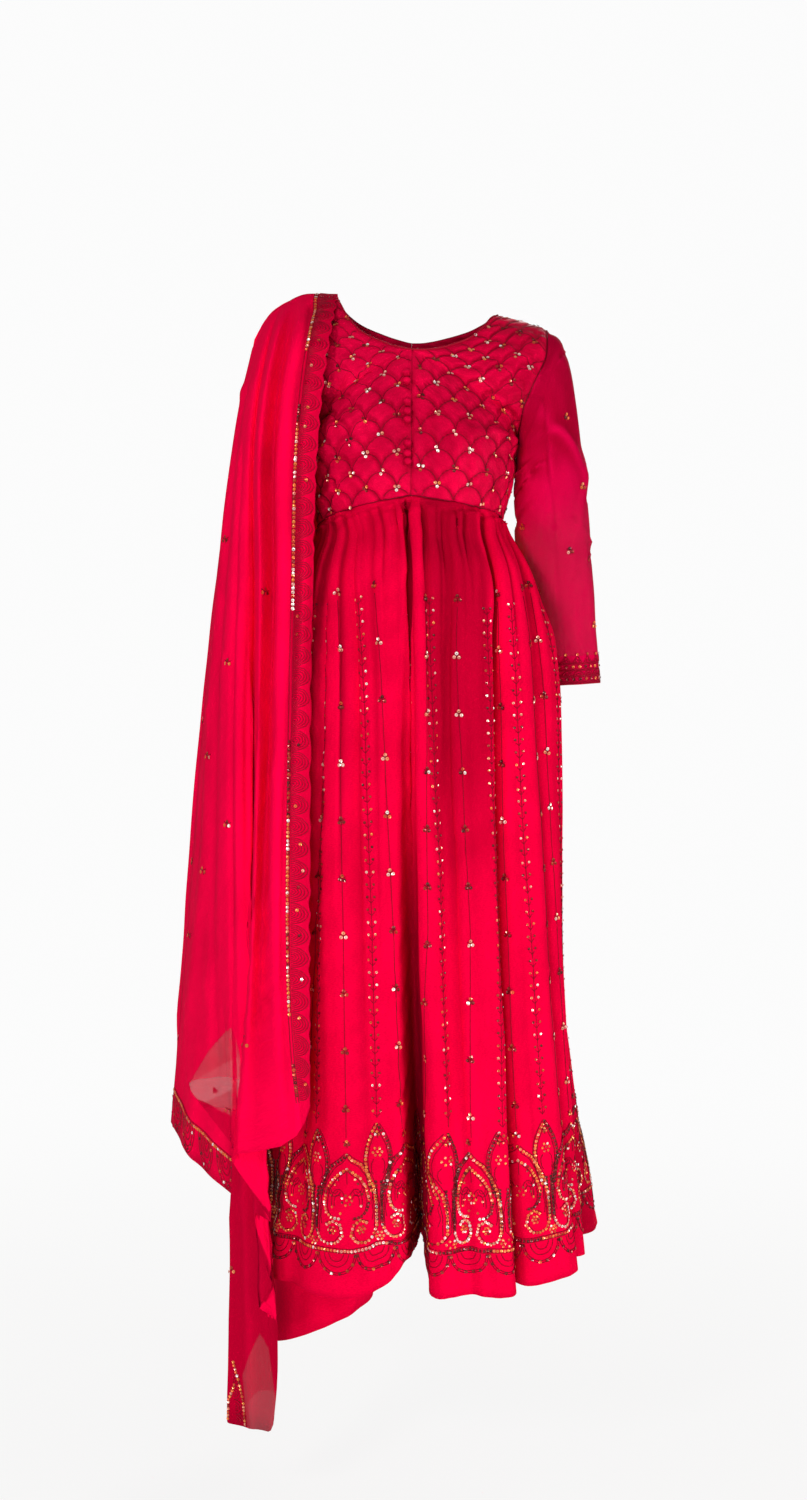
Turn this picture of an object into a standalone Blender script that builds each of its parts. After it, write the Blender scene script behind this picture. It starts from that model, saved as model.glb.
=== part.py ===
"""Salwar kameez suit: empire kameez with a pleated skirt, salwar and dupatta.

Metres, +Z up, the front faces -Y, +X is the wearer's left. The origin is the middle of the
neck opening, level with the top of the left shoulder seam, where the neck carries the suit.
Every cloth piece is a grid of points worked out from the tables below, then given a wall.
"""
import math
from collections import namedtuple

import bpy
import numpy as np

# ----- driving sizes ---------------------------------------------------------------------
WALL = 0.0012            # kameez and salwar cloth
SHEER_WALL = 0.0010      # dupatta and sleeves
SEAM_GAP = 0.00016       # each piece stops this far short of its seam line
BUTTON_LIFT = 0.0005     # a button stands this far off the curved cloth
BUTTON_RADIUS = 0.0049
BUTTON_HEIGHT = 0.0048
BUTTON_X = -0.0104
BUTTON_Z = (-0.0865, -0.0968, -0.1243, -0.1345, -0.1447, -0.1738, -0.1846, -0.1955)
HEM_Z = -1.203           # kameez hem, 1.20 m below the shoulder

CRIMSON = (0.62, 0.006, 0.045, 1.0)
DEEP_CRIMSON = (0.46, 0.004, 0.035, 1.0)
SHEER_CRIMSON = (0.66, 0.010, 0.055, 1.0)

# ----- bodice: a row runs from the inner edge (neck, then placket or centre back) --------
# to the outer edge (armhole, then side seam). Turn is the heading of the row at each end,
# 0 straight across and 90 straight back; pull is how far it holds that heading.
BODICE_COLUMNS = ("in_x", "in_y", "in_z", "out_x", "out_y", "out_z",
                  "in_turn", "out_turn", "in_pull", "out_pull", "centre",
                  "right_in_lift", "right_out_lift")
BODICE_FRONT = (
    (0.105, 0.000, 0.000, 0.168, 0.000, -0.019, 0, 0, 0.020, 0.020, 0.000, 0.022, 0.018),
    (0.096, -0.021, -0.007, 0.1665, -0.027, -0.037, -8, 8, 0.022, 0.024, 0.000, 0.020, 0.017),
    (0.084, -0.042, -0.023, 0.1625, -0.045, -0.063, -6, 12, 0.026, 0.028, 0.000, 0.013, 0.015),
    (0.066, -0.058, -0.039, 0.148, -0.058, -0.094, -2, 25, 0.030, 0.030, 0.000, 0.008, 0.012),
    (0.034, -0.073, -0.052, 0.1355, -0.052, -0.1225, 0, 55, 0.038, 0.030, 0.000, 0.004, 0.010),
    (0.013, -0.0812, -0.0562, 0.1328, -0.038, -0.1380, 0, 66, 0.044, 0.036, -0.001, 0.002, 0.009),
    (-0.004, -0.0825, -0.0565, 0.1300, -0.022, -0.152, 0, 76, 0.050, 0.045, -0.004, 0.000, 0.008),
    (-0.0045, -0.1050, -0.095, 0.128, 0.000, -0.166, 0, 90, 0.066, 0.075, -0.0045, 0.000, 0.007),
    (-0.005, -0.123, -0.140, 0.1275, 0.000, -0.190, 0, 90, 0.082, 0.098, -0.005, 0.000, 0.004),
    (-0.0055, -0.121, -0.190, 0.1210, 0.000, -0.225, 0, 90, 0.078, 0.088, -0.0055, 0.000, -0.002),
    (-0.006, -0.112, -0.2385, 0.1105, 0.000, -0.262, 0, 90, 0.066, 0.070, -0.006, 0.000, -0.009),
)
BODICE_BACK = (
    (0.105, 0.000, 0.000, 0.168, 0.000, -0.019, 0, 0, 0.020, 0.020, 0.000, 0.022, 0.018),
    (0.097, 0.012, -0.004, 0.1665, 0.022, -0.037, 4, -6, 0.022, 0.024, 0.000, 0.020, 0.017),
    (0.085, 0.024, -0.010, 0.1620, 0.040, -0.063, 8, -8, 0.026, 0.028, 0.000, 0.013, 0.015),
    (0.066, 0.036, -0.017, 0.152, 0.050, -0.094, 8, -14, 0.030, 0.030, 0.000, 0.008, 0.012),
    (0.035, 0.047, -0.024, 0.141, 0.046, -0.1225, 4, -45, 0.038, 0.030, 0.000, 0.004, 0.010),
    (0.013, 0.0510, -0.0275, 0.1370, 0.036, -0.1380, 1, -60, 0.044, 0.036, -0.001, 0.002, 0.009),
    (-0.004, 0.052, -0.028, 0.1325, 0.022, -0.152, 0, -72, 0.050, 0.040, -0.004, 0.000, 0.008),
    (-0.004, 0.072, -0.080, 0.128, 0.000, -0.166, 0, -90, 0.062, 0.060, -0.004, 0.000, 0.007),
    (-0.004, 0.087, -0.140, 0.1275, 0.000, -0.190, 0, -90, 0.070, 0.070, -0.004, 0.000, 0.004),
    (-0.004, 0.094, -0.190, 0.1210, 0.000, -0.225, 0, -90, 0.068, 0.066, -0.004, 0.000, -0.002),
    (-0.004, 0.098, -0.245, 0.1105, 0.000, -0.262, 0, -90, 0.064, 0.062, -0.004, 0.000, -0.009),
)
UNDERARM_ROW = 7
NECK_ROW = 6             # the row that starts at the foot of the neck opening
BODICE_GRID_ROWS, BODICE_GRID_COLUMNS = 14, 8
UNDERARM_GRID_ROW = 8

# ----- sleeve: rings down the left arm, outer and inner edge, middle and half depth ------
SLEEVE_STEPS = 16        # points round a sleeve
SLEEVE_GRID_ROWS = 9
RIGHT_SLEEVE_SHIFT, RIGHT_SLEEVE_EASE = -0.0115, 0.0145
SleeveRing = namedtuple("SleeveRing", "outer_x outer_z inner_x inner_z mid_y depth right_lift")
SLEEVE = (
    (0.1870, -0.036, 0.1292, -0.181, 0.000, 0.060, 0.016),
    (0.2000, -0.079, 0.1275, -0.198, 0.002, 0.058, 0.011),
    (0.2085, -0.135, 0.1262, -0.219, 0.006, 0.054, 0.007),
    (0.2175, -0.195, 0.1280, -0.245, 0.018, 0.050, 0.004),
    (0.2255, -0.260, 0.1320, -0.286, 0.034, 0.047, 0.002),
    (0.2330, -0.340, 0.1395, -0.352, 0.055, 0.045, 0.000),
    (0.2395, -0.410, 0.1480, -0.414, 0.070, 0.043, 0.000),
    (0.2445, -0.468, 0.1545, -0.4735, 0.081, 0.041, 0.000),
)

# ----- skirt: the smooth section at each level, before the folds -------------------------
SkirtLevel = namedtuple("SkirtLevel", "z mid_x mid_y half_width front back fold_share")
SKIRT_LEVELS = (
    (-0.285, -0.002, -0.002, 0.1240, 0.124, 0.104, 0.30),
    (-0.340, 0.000, -0.012, 0.1500, 0.136, 0.112, 0.60),
    (-0.460, 0.000, -0.015, 0.1800, 0.155, 0.135, 1.00),
    (-0.620, 0.000, -0.010, 0.1900, 0.168, 0.160, 1.00),
    (-0.800, 0.002, 0.000, 0.2020, 0.183, 0.190, 1.00),
    (-1.000, 0.006, 0.004, 0.2160, 0.197, 0.215, 1.00),
    (HEM_Z, 0.010, 0.008, 0.2360, 0.208, 0.240, 1.00),
)
HIP_LEVEL_Z = -0.460
# A row is one ridge or valley line; the turn is measured from the front towards +X.
Fold = namedtuple("Fold", "name waist_turn hip_turn hem_turn hip_out hem_out hem_lift")
SKIRT_FOLDS = (
    ("front slot floor", -3, -2.5, -2.5, -0.024, -0.150, 0.040),
    ("front slot right lip", 1, 1.5, 4.0, 0.003, -0.035, 0.001),
    ("left front ridge", 6, 4.5, 9.5, 0.008, -0.008, 0.000),
    ("left front hollow", 21, 13.0, 14.0, -0.006, -0.010, 0.002),
    ("left front panel", 36, 23.0, 21.0, 0.004, 0.008, -0.002),
    ("left slot", 47, 32.5, 30.0, -0.020, -0.026, 0.006),
    ("left slot lip", 52, 36.0, 36.0, 0.003, -0.006, 0.003),
    ("left hip ridge", 60, 44.0, 50.0, 0.006, -0.006, 0.006),
    ("left hip valley", 73, 55.0, 66.0, -0.010, -0.014, 0.012),
    ("left side corner", 82, 64.0, 72.0, 0.003, -0.020, 0.012),
    ("left side valley", 93, 84.0, 91.0, 0.000, -0.070, 0.010),
    ("left back lip", 103, 101.0, 103.0, -0.022, -0.004, 0.010),
    ("left back ridge", 114, 116.0, 121.0, -0.020, 0.030, 0.012),
    ("left back valley", 127, 130.0, 134.0, -0.014, -0.052, 0.004),
    ("back ridge left", 141, 143.0, 147.0, 0.006, 0.012, 0.000),
    ("back valley left", 155, 156.0, 160.0, -0.010, -0.048, 0.002),
    ("back ridge middle", 169, 169.0, 172.0, 0.007, 0.016, -0.002),
    ("back valley middle", 183, 183.0, 186.0, -0.011, -0.042, 0.003),
    ("back ridge right", 197, 197.0, 200.0, 0.007, 0.010, 0.000),
    ("back valley right", 210, 211.0, 212.0, -0.010, -0.050, 0.003),
    ("right back ridge", 222, 224.0, 226.0, -0.010, 0.014, 0.000),
    ("right back valley", 234, 238.0, 240.0, -0.020, -0.044, 0.006),
    ("right back lip", 246, 251.0, 252.0, -0.021, 0.006, 0.004),
    ("right side valley", 258, 264.0, 264.0, -0.006, -0.046, 0.006),
    ("right side ridge", 271, 281.0, 277.0, 0.002, 0.006, 0.002),
    ("right hip valley", 287, 300.0, 292.0, -0.010, -0.040, 0.004),
    ("right hip ridge", 299, 312.0, 306.0, 0.003, -0.004, 0.000),
    ("right slot", 306, 319.0, 320.0, -0.020, -0.016, 0.002),
    ("right front ridge", 313, 330.0, 335.0, 0.006, 0.016, -0.003),
    ("right front hollow", 321, 337.0, 343.5, -0.003, 0.010, 0.004),
    ("right front panel", 334, 346.5, 350.0, 0.004, 0.000, 0.020),
    ("front slot left lip", 350, 353.0, 354.5, 0.003, -0.035, 0.040),
)
SKIRT_RINGS = 9
SKIRT_STEPS = 3          # points between one fold line and the next
FRONT_FIRST, FRONT_LAST = -6, 10   # fold rows where the side seams run (right, left)
BACK_SEAM = 17                     # and the centre back seam

# ----- salwar: rings of one leg; the ring is open at the middle seam above the crotch ----
LegRing = namedtuple("LegRing", "z mid_x half_width mid_y half_depth")
LEFT_LEG = (
    (-0.3603, 0.000, 0.1080, 0.004, 0.084),
    (-0.4200, 0.010, 0.1180, 0.000, 0.088),
    (-0.5000, 0.030, 0.1160, 0.002, 0.094),
    (-0.5800, 0.058, 0.0880, 0.002, 0.090),
    (-0.6300, 0.0730, 0.0727, 0.002, 0.086),
    (-0.8000, 0.0730, 0.0700, 0.010, 0.076),
    (-1.0000, 0.0690, 0.0600, 0.018, 0.062),
    (-1.1600, 0.0660, 0.0560, 0.022, 0.056),
)
RIGHT_LEG = (
    (-0.3603, 0.000, 0.1080, 0.004, 0.084),
    (-0.4200, 0.010, 0.1180, 0.000, 0.088),
    (-0.5000, 0.030, 0.1160, 0.002, 0.094),
    (-0.5800, 0.058, 0.0880, 0.002, 0.090),
    (-0.6300, 0.0730, 0.0727, 0.002, 0.086),
    (-0.8000, 0.0850, 0.0720, 0.006, 0.080),
    (-1.0000, 0.0960, 0.0620, 0.000, 0.066),
    (-1.2740, 0.1040, 0.0560, -0.006, 0.058),
)
HEM_SLANT = 0.40         # the right leg drops this much per metre towards its outer side
WAISTBAND_TOP = -0.328

# ----- dupatta: a row is one fold line, x and y at each level, and its lower end ---------
DUPATTA_COLUMNS = ("ridge", "chest_x", "chest_y", "waist_x", "waist_y", "knee_x", "knee_y",
                   "hem_x", "hem_y", "hem_z")
DUPATTA_LEVELS = (("chest", -0.115), ("waist", -0.365), ("knee", -0.730))
DUPATTA_FRONT = (
    ("side line", 1.00, -0.223, 0.020, -0.261, 0.030, -0.2925, 0.035, -0.312, 0.050, -1.045),
    ("outer edge", 0.93, -0.222, 0.004, -0.255, 0.000, -0.279, -0.015, -0.294, 0.000, -1.064),
    ("outer fall", 0.87, -0.220, -0.010, -0.247, -0.028, -0.262, -0.055, -0.263, -0.055, -1.078),
    ("tail left", 0.81, -0.217, -0.022, -0.239, -0.050, -0.247, -0.085, -0.220, -0.105, -1.098),
    ("tail edge", 0.76, -0.214, -0.035, -0.230, -0.068, -0.232, -0.108, -0.219, -0.115, -1.273),
    ("tail tip", 0.71, -0.210, -0.045, -0.221, -0.080, -0.221, -0.122, -0.234, -0.125, -1.382),
    ("tail corner", 0.66, -0.206, -0.055, -0.212, -0.085, -0.211, -0.130, -0.174, -0.150, -1.375),
    ("tail turn", 0.61, -0.202, -0.060, -0.206, -0.083, -0.202, -0.128, -0.163, -0.160, -1.250),
    ("fall inner", 0.57, -0.199, -0.059, -0.202, -0.078, -0.203, -0.128, -0.200, -0.168, -1.109),
    ("deep valley", 0.53, -0.196, -0.060, -0.199, -0.075, -0.200, -0.127, -0.184, -0.178, -1.088),
    ("middle ridge", 0.43, -0.181, -0.088, -0.185, -0.110, -0.191, -0.160, -0.216, -0.198, -1.028),
    ("middle valley", 0.33, -0.170, -0.084, -0.173, -0.104, -0.184, -0.158, -0.195, -0.204, -1.020),
    ("front ridge", 0.23, -0.154, -0.101, -0.157, -0.128, -0.167, -0.188, -0.1705, -0.216, -1.013),
    ("band inner", 0.12, -0.1365, -0.105, -0.139, -0.133, -0.154, -0.193, -0.146, -0.222, -1.000),
    ("band outer", 0.00, -0.116, -0.100, -0.126, -0.126, -0.1275, -0.186, -0.1315, -0.216, -0.993),
)
DUPATTA_BACK = (
    ("back band outer", 0.00, -0.088, 0.100, -0.078, 0.146, -0.090, 0.214, -0.095, 0.262, -1.250),
    ("back band inner", 0.16, -0.118, 0.106, -0.110, 0.152, -0.125, 0.220, -0.130, 0.270, -1.262),
    ("back valley", 0.36, -0.150, 0.100, -0.150, 0.146, -0.170, 0.206, -0.180, 0.252, -1.290),
    ("back ridge", 0.56, -0.178, 0.094, -0.190, 0.152, -0.222, 0.210, -0.232, 0.252, -1.345),
    ("back corner", 0.74, -0.203, 0.080, -0.234, 0.138, -0.272, 0.176, -0.280, 0.202, -1.190),
    ("back outer", 0.88, -0.219, 0.048, -0.259, 0.090, -0.298, 0.108, -0.310, 0.122, -1.075),
    ("side line", 1.00, -0.223, 0.020, -0.261, 0.030, -0.2925, 0.035, -0.312, 0.050, -1.045),
)
# The line over the shoulder where the front stretch turns into the back one.
RIDGE_LINE = ((-0.0985, 0.0, 0.0272), (-0.1400, 0.0, 0.0262), (-0.1705, 0.0, 0.0125),
              (-0.1900, 0.002, -0.0040), (-0.2045, 0.004, -0.0300))
SHOULDER_DROP = 0.38     # where the cloth rounds the shoulder: share of the fall to the chest
SHOULDER_REACH = 0.70    # and share of the way out to the chest fold


def column(table, columns, name):
    """Return one named column of a table as an array; a leading row name is skipped."""
    skip = 1 if isinstance(table[0][0], str) else 0
    return np.array([row[skip + columns.index(name)] for row in table], dtype=float)


def spline(values, stations, closed=False):
    """Catmull-Rom through the first axis of values, at the given fractional stations."""
    values = np.asarray(values, dtype=float)
    count = len(values)
    points = []
    for station in stations:
        if closed:
            base = math.floor(station)
            near = [values[(base + k) % count] for k in (-1, 0, 1, 2)]
        else:
            base = min(max(math.floor(station), 0), count - 2)
            near = [values[base], values[base + 1]]
            near.insert(0, values[base - 1] if base > 0 else 2 * near[0] - near[1])
            near.append(values[base + 2] if base + 2 < count else 2 * near[2] - near[1])
        t = station - base
        points.append(0.5 * (2 * near[1] + (near[2] - near[0]) * t
                             + (2 * near[0] - 5 * near[1] + 4 * near[2] - near[3]) * t ** 2
                             + (3 * near[1] - near[0] - 3 * near[2] + near[3]) * t ** 3))
    return np.array(points)


def grid_normals(grid, closed):
    """Outward normals of a grid whose rows run down and whose columns run front to +X."""
    down = np.gradient(grid, axis=0)
    if closed:
        across = np.roll(grid, -1, axis=1) - np.roll(grid, 1, axis=1)
    else:
        across = np.gradient(grid, axis=1)
    normals = np.cross(down, across)
    return normals / np.maximum(np.linalg.norm(normals, axis=2, keepdims=True), 1e-12)


def finish_solid(name, vertices, faces, colour):
    """Make a mesh object with its own material from vertices and faces."""
    mesh = bpy.data.meshes.new(name)
    mesh.from_pydata([tuple(map(float, v)) for v in vertices], [], faces)
    mesh.update()
    solid = bpy.data.objects.new(name, mesh)
    bpy.context.scene.collection.objects.link(solid)
    material = bpy.data.materials.new(name)
    material.use_nodes = True
    shader = material.node_tree.nodes["Principled BSDF"]
    shader.inputs["Base Color"].default_value = colour
    shader.inputs["Roughness"].default_value = 0.6
    mesh.materials.append(material)
    return solid


def cloth(name, grid, colour, wall, closed=False, outside=0.0, square=(), normals=None):
    """Give a grid a wall: the outer skin stands `outside` off the grid, the inner inside it.

    Each (rows, columns, axis) in square is an edge whose wall is cut square to that axis, so
    that two pieces meeting there keep their gap through the wall.
    """
    if normals is None:
        normals = grid_normals(grid, closed)
    for edge_rows, edge_columns, axis in square:
        part = normals[edge_rows, edge_columns]
        part[..., axis] = 0.0
        part /= np.maximum(np.linalg.norm(part, axis=-1, keepdims=True), 1e-9)
        normals[edge_rows, edge_columns] = part
    rows, cols = grid.shape[:2]
    outer = (grid + normals * outside).reshape(-1, 3)
    inner = (grid + normals * (outside - wall)).reshape(-1, 3)
    vertices = np.concatenate([outer, inner])
    half = rows * cols

    def at(i, j, skin):
        return skin * half + i * cols + (j % cols)

    faces = []
    spans = cols if closed else cols - 1
    for j in range(spans):
        for i in range(rows - 1):
            faces.append((at(i, j, 0), at(i + 1, j, 0), at(i + 1, j + 1, 0), at(i, j + 1, 0)))
            faces.append((at(i, j, 1), at(i, j + 1, 1), at(i + 1, j + 1, 1), at(i + 1, j, 1)))
        end = rows - 1
        faces.append((at(0, j, 0), at(0, j + 1, 0), at(0, j + 1, 1), at(0, j, 1)))
        faces.append((at(end, j, 0), at(end, j, 1), at(end, j + 1, 1), at(end, j + 1, 0)))
    if not closed:
        last = cols - 1
        for i in range(rows - 1):
            faces.append((at(i, 0, 0), at(i, 0, 1), at(i + 1, 0, 1), at(i + 1, 0, 0)))
            faces.append((at(i, last, 0), at(i + 1, last, 0), at(i + 1, last, 1),
                          at(i, last, 1)))
    return finish_solid(name, vertices, faces, colour)


def trimmed(grid, top=False, bottom=False, first=False, last=False):
    """Pull the chosen edges of a grid back by the seam gap, towards the row beside them."""
    grid = grid.copy()
    for wanted, edge, beside in ((top, np.s_[0], np.s_[1]), (bottom, np.s_[-1], np.s_[-2]),
                                 (first, np.s_[:, 0], np.s_[:, 1]),
                                 (last, np.s_[:, -1], np.s_[:, -2])):
        if wanted:
            step = grid[beside] - grid[edge]
            length = np.maximum(np.linalg.norm(step, axis=1, keepdims=True), 1e-9)
            grid[edge] = grid[edge] + step / length * SEAM_GAP
    return grid


# ----- bodice ------------------------------------------------------------------------------
def bodice_rows(table, right):
    """The inner point, two handles and outer point of every bodice row, as (row, 4, 3)."""
    get = {name: column(table, BODICE_COLUMNS, name) for name in BODICE_COLUMNS}
    rows = []
    for i in range(len(table)):
        inner = np.array([get["in_x"][i], get["in_y"][i], get["in_z"][i]])
        outer = np.array([get["out_x"][i], get["out_y"][i], get["out_z"][i]])
        if right:
            inner[2] += get["right_in_lift"][i]
            outer[2] += get["right_out_lift"][i]
        third = (outer[2] - inner[2]) / 3
        a, b = math.radians(get["in_turn"][i]), math.radians(get["out_turn"][i])
        pull_in, pull_out = get["in_pull"][i], get["out_pull"][i]
        one = inner + np.array([math.cos(a) * pull_in, math.sin(a) * pull_in, third])
        two = outer - np.array([math.cos(b) * pull_out, math.sin(b) * pull_out, third])
        row = np.array([inner, one, two, outer])
        if right:
            row[:, 0] = 2 * get["centre"][i] - row[:, 0]
        rows.append(row)
    return np.array(rows)


def bodice_point_rows(table, right, stations, shares):
    """Points of a bodice half at row stations and at shares of the way to the outer edge."""
    rows = bodice_rows(table, right)
    handles = spline(rows, stations)
    for k, station in enumerate(stations):      # the neck edge turns a corner at its foot
        above = station <= NECK_ROW
        part = rows[:NECK_ROW + 1] if above else rows[NECK_ROW:]
        handles[k, :2] = spline(part, [station if above else station - NECK_ROW])[0, :2]
    centre = spline(column(table, BODICE_COLUMNS, "centre"), stations)
    keep = np.minimum if right else np.maximum
    handles[:, 0, 0] = keep(handles[:, 0, 0], centre)
    hold = np.minimum if table is BODICE_FRONT else np.maximum
    handles[:, 3, 1] = hold(handles[:, 3, 1], 0.0)
    t = np.asarray(shares, dtype=float)[None, :, None]
    p = [handles[:, k][:, None, :] for k in range(4)]
    return ((1 - t) ** 3 * p[0] + 3 * (1 - t) ** 2 * t * p[1]
            + 3 * (1 - t) * t ** 2 * p[2] + t ** 3 * p[3])


def bodice_grid(table, right, back):
    """Grid of one bodice panel with its columns in the front to +X sense."""
    upper = np.linspace(0, UNDERARM_ROW, UNDERARM_GRID_ROW + 1)
    lower = np.linspace(UNDERARM_ROW, len(table) - 1, BODICE_GRID_ROWS - UNDERARM_GRID_ROW)
    stations = np.concatenate([upper, lower[1:]])
    grid = bodice_point_rows(table, right, stations, np.linspace(0, 1, BODICE_GRID_COLUMNS))
    flip = right != back
    return grid[:, ::-1] if flip else grid


def build_bodice():
    """Two fronts meeting at the placket and two backs meeting at the centre back."""
    for side, right in (("left", False), ("right", True)):
        for place, table, back in (("front", BODICE_FRONT, False), ("back", BODICE_BACK, True)):
            grid = trimmed(bodice_grid(table, right, back), top=True, bottom=True,
                           first=True, last=True)
            middle, seam = (-1, 0) if right != back else (0, -1)
            cloth(f"bodice_{place}_{side}", grid, DEEP_CRIMSON, WALL,
                  square=((slice(None), middle, 0), (0, slice(None), 1),
                          (slice(UNDERARM_GRID_ROW, None), seam, 1)))


def waist_seam(turn):
    """The point of the waist seam at a turn in degrees from the front towards +X."""
    turn = turn % 360
    table = BODICE_FRONT if turn <= 90 or turn >= 270 else BODICE_BACK
    right = turn > 180
    folded = min(turn, 360 - turn)
    share = folded / 90 if folded <= 90 else (180 - folded) / 90
    return bodice_point_rows(table, right, [len(table) - 1], [share])[0, 0]


# ----- buttons -------------------------------------------------------------------------------
def build_buttons():
    """Covered domed buttons on the right front, each standing on the slope of the cloth."""
    panel = bodice_grid(BODICE_FRONT, True, False)
    share = (BUTTON_X - panel[-1, -1, 0]) / (panel[-1, -2, 0] - panel[-1, -1, 0])
    line = panel[:, -1] * (1 - share) + panel[:, -2] * share
    for number, z in enumerate(BUTTON_Z, start=1):
        reach = [float(np.interp(-h, -line[:, 2], line[:, 1])) for h in (z + 0.004, z, z - 0.004)]
        slope = np.array([0.0, reach[2] - reach[0], -0.008])
        row = int(np.argmin(abs(line[:, 2] - z)))
        across = (panel[row, -1] - panel[row, -2]) * np.array([1.0, 1.0, 0.0])
        normal = np.cross(slope, across)
        normal /= np.linalg.norm(normal)
        seat = np.array([BUTTON_X, reach[1], z]) + normal * BUTTON_LIFT
        dome(f"button_{number}", seat, normal)


def dome(name, seat, normal):
    """A flat-backed dome on a seat point, its axis along the normal."""
    side = np.cross(normal, np.array([1.0, 0.0, 0.0]))
    side /= np.linalg.norm(side)
    other = np.cross(normal, side)
    steps, rings = 14, (0.0, 24.0, 48.0, 70.0)
    vertices = []
    for lift in rings:
        radius = BUTTON_RADIUS * math.cos(math.radians(lift))
        height = BUTTON_HEIGHT * math.sin(math.radians(lift))
        for k in range(steps):
            angle = 2 * math.pi * k / steps
            vertices.append(seat + normal * height
                            + (side * math.cos(angle) + other * math.sin(angle)) * radius)
    vertices += [seat + normal * BUTTON_HEIGHT, seat]
    top, base = len(vertices) - 2, len(vertices) - 1
    faces = []
    for k in range(steps):
        n = (k + 1) % steps
        for r in range(len(rings) - 1):
            faces.append((r * steps + k, r * steps + n, (r + 1) * steps + n,
                          (r + 1) * steps + k))
        high = (len(rings) - 1) * steps
        faces.append((high + k, high + n, top))
        faces.append((n, k, base))
    finish_solid(name, vertices, faces, DEEP_CRIMSON)


# ----- sleeves -------------------------------------------------------------------------------
def armhole_loop(right):
    """Points round the armhole: front middle, over the shoulder, back, underarm."""
    stations = np.linspace(0, UNDERARM_ROW, UNDERARM_GRID_ROW + 1)
    front = bodice_point_rows(BODICE_FRONT, right, stations, [1.0])[:, 0]
    back = bodice_point_rows(BODICE_BACK, right, stations, [1.0])[:, 0]
    middle = UNDERARM_GRID_ROW // 2
    return np.concatenate([front[middle:0:-1], back[:-1], front[:middle:-1]])


def sleeve_rings(right):
    """Control rings of a sleeve, SLEEVE_STEPS points each, from the armhole to the cuff."""
    flip = -1.0 if right else 1.0
    rings = [armhole_loop(right)]
    for row in map(SleeveRing._make, SLEEVE):
        lift = row.right_lift if right else 0.0
        ring = []
        for k in range(SLEEVE_STEPS):
            angle = math.radians(360 / SLEEVE_STEPS * k)
            across = 0.5 + 0.5 * math.sin(angle)
            ring.append(((row.inner_x + (row.outer_x - row.inner_x) * across) * flip
                         + (RIGHT_SLEEVE_SHIFT + RIGHT_SLEEVE_EASE * across if right else 0.0),
                         row.mid_y - row.depth * math.cos(angle),
                         row.inner_z + (row.outer_z - row.inner_z) * across + lift))
        rings.append(np.array(ring))
    return np.array(rings)


def build_sleeves():
    """A sleeve each side, sheer, set into the armhole and open at the cuff."""
    for side, right in (("left", False), ("right", True)):
        grid = spline(sleeve_rings(right), np.linspace(0, len(SLEEVE), SLEEVE_GRID_ROWS))
        if right:
            grid = grid[:, ::-1]
        start = grid[1] - grid[0]
        start /= np.linalg.norm(start, axis=1, keepdims=True)
        grid[0] += start * (2.5 * SEAM_GAP) + np.array([-3 if right else 3, 0, 0]) * SEAM_GAP
        cloth(f"sleeve_{side}", grid, SHEER_CRIMSON, SHEER_WALL, closed=True)


# ----- skirt -----------------------------------------------------------------------------------
def fold_ring(level):
    """The fold lines' points on one skirt level; level 0 is the waist seam."""
    ring = []
    for fold in map(Fold._make, SKIRT_FOLDS):
        seam = waist_seam(fold.waist_turn)
        if level == 0:
            away = np.array([seam[0], seam[1], 0.0])
            away /= np.linalg.norm(away)
            ring.append(seam + away * (0.0022 if fold.hip_out > 0 else 0.0))
            continue
        size = SkirtLevel._make(SKIRT_LEVELS[level - 1])
        if size.z > HIP_LEVEL_Z:
            part = (size.z - seam[2]) / (HIP_LEVEL_Z - seam[2])
            turn = fold.waist_turn + (fold.hip_turn - fold.waist_turn) * part ** 0.7
            out, foot = fold.hip_out * size.fold_share, 0.0
        else:
            part = (size.z - HIP_LEVEL_Z) / (HEM_Z - HIP_LEVEL_Z)
            turn = fold.hip_turn + (fold.hem_turn - fold.hip_turn) * part
            out = fold.hip_out + (fold.hem_out - fold.hip_out) * part ** 1.3
            foot = fold.hem_lift * max(0.0, (part - 0.75) / 0.25)
        angle = math.radians(turn)
        depth = size.front if math.cos(angle) > 0 else size.back
        base = np.array([size.half_width * math.sin(angle), -depth * math.cos(angle), 0.0])
        away = base / np.linalg.norm(base)
        ring.append(np.array([size.mid_x, size.mid_y, size.z + foot]) + base + away * out)
    return np.array(ring)


def skirt_grid():
    """The whole skirt as one closed grid, rows from the waist seam to the hem."""
    rings = np.array([fold_ring(level) for level in range(len(SKIRT_LEVELS) + 1)])
    rings = spline(rings, np.linspace(0, len(SKIRT_LEVELS), SKIRT_RINGS))
    stations = np.arange(0, len(SKIRT_FOLDS), 1 / SKIRT_STEPS)
    return np.array([spline(ring, stations, closed=True) for ring in rings])


def build_skirt():
    """Front and two back skirt panels, pleated into the waist seam."""
    grid = skirt_grid()
    normals = grid_normals(grid, closed=True)
    count = grid.shape[1]
    for name, first, last in (("skirt_front", FRONT_FIRST, FRONT_LAST),
                              ("skirt_back_left", FRONT_LAST, BACK_SEAM),
                              ("skirt_back_right", BACK_SEAM, FRONT_FIRST + len(SKIRT_FOLDS))):
        picks = [j % count for j in range(first * SKIRT_STEPS, last * SKIRT_STEPS + 1)]
        panel = trimmed(grid[:, picks], top=True, first=True, last=True)
        panel[0, :, 2] -= 2 * SEAM_GAP
        cloth(name, panel, CRIMSON, WALL, normals=normals[:, picks])


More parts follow.
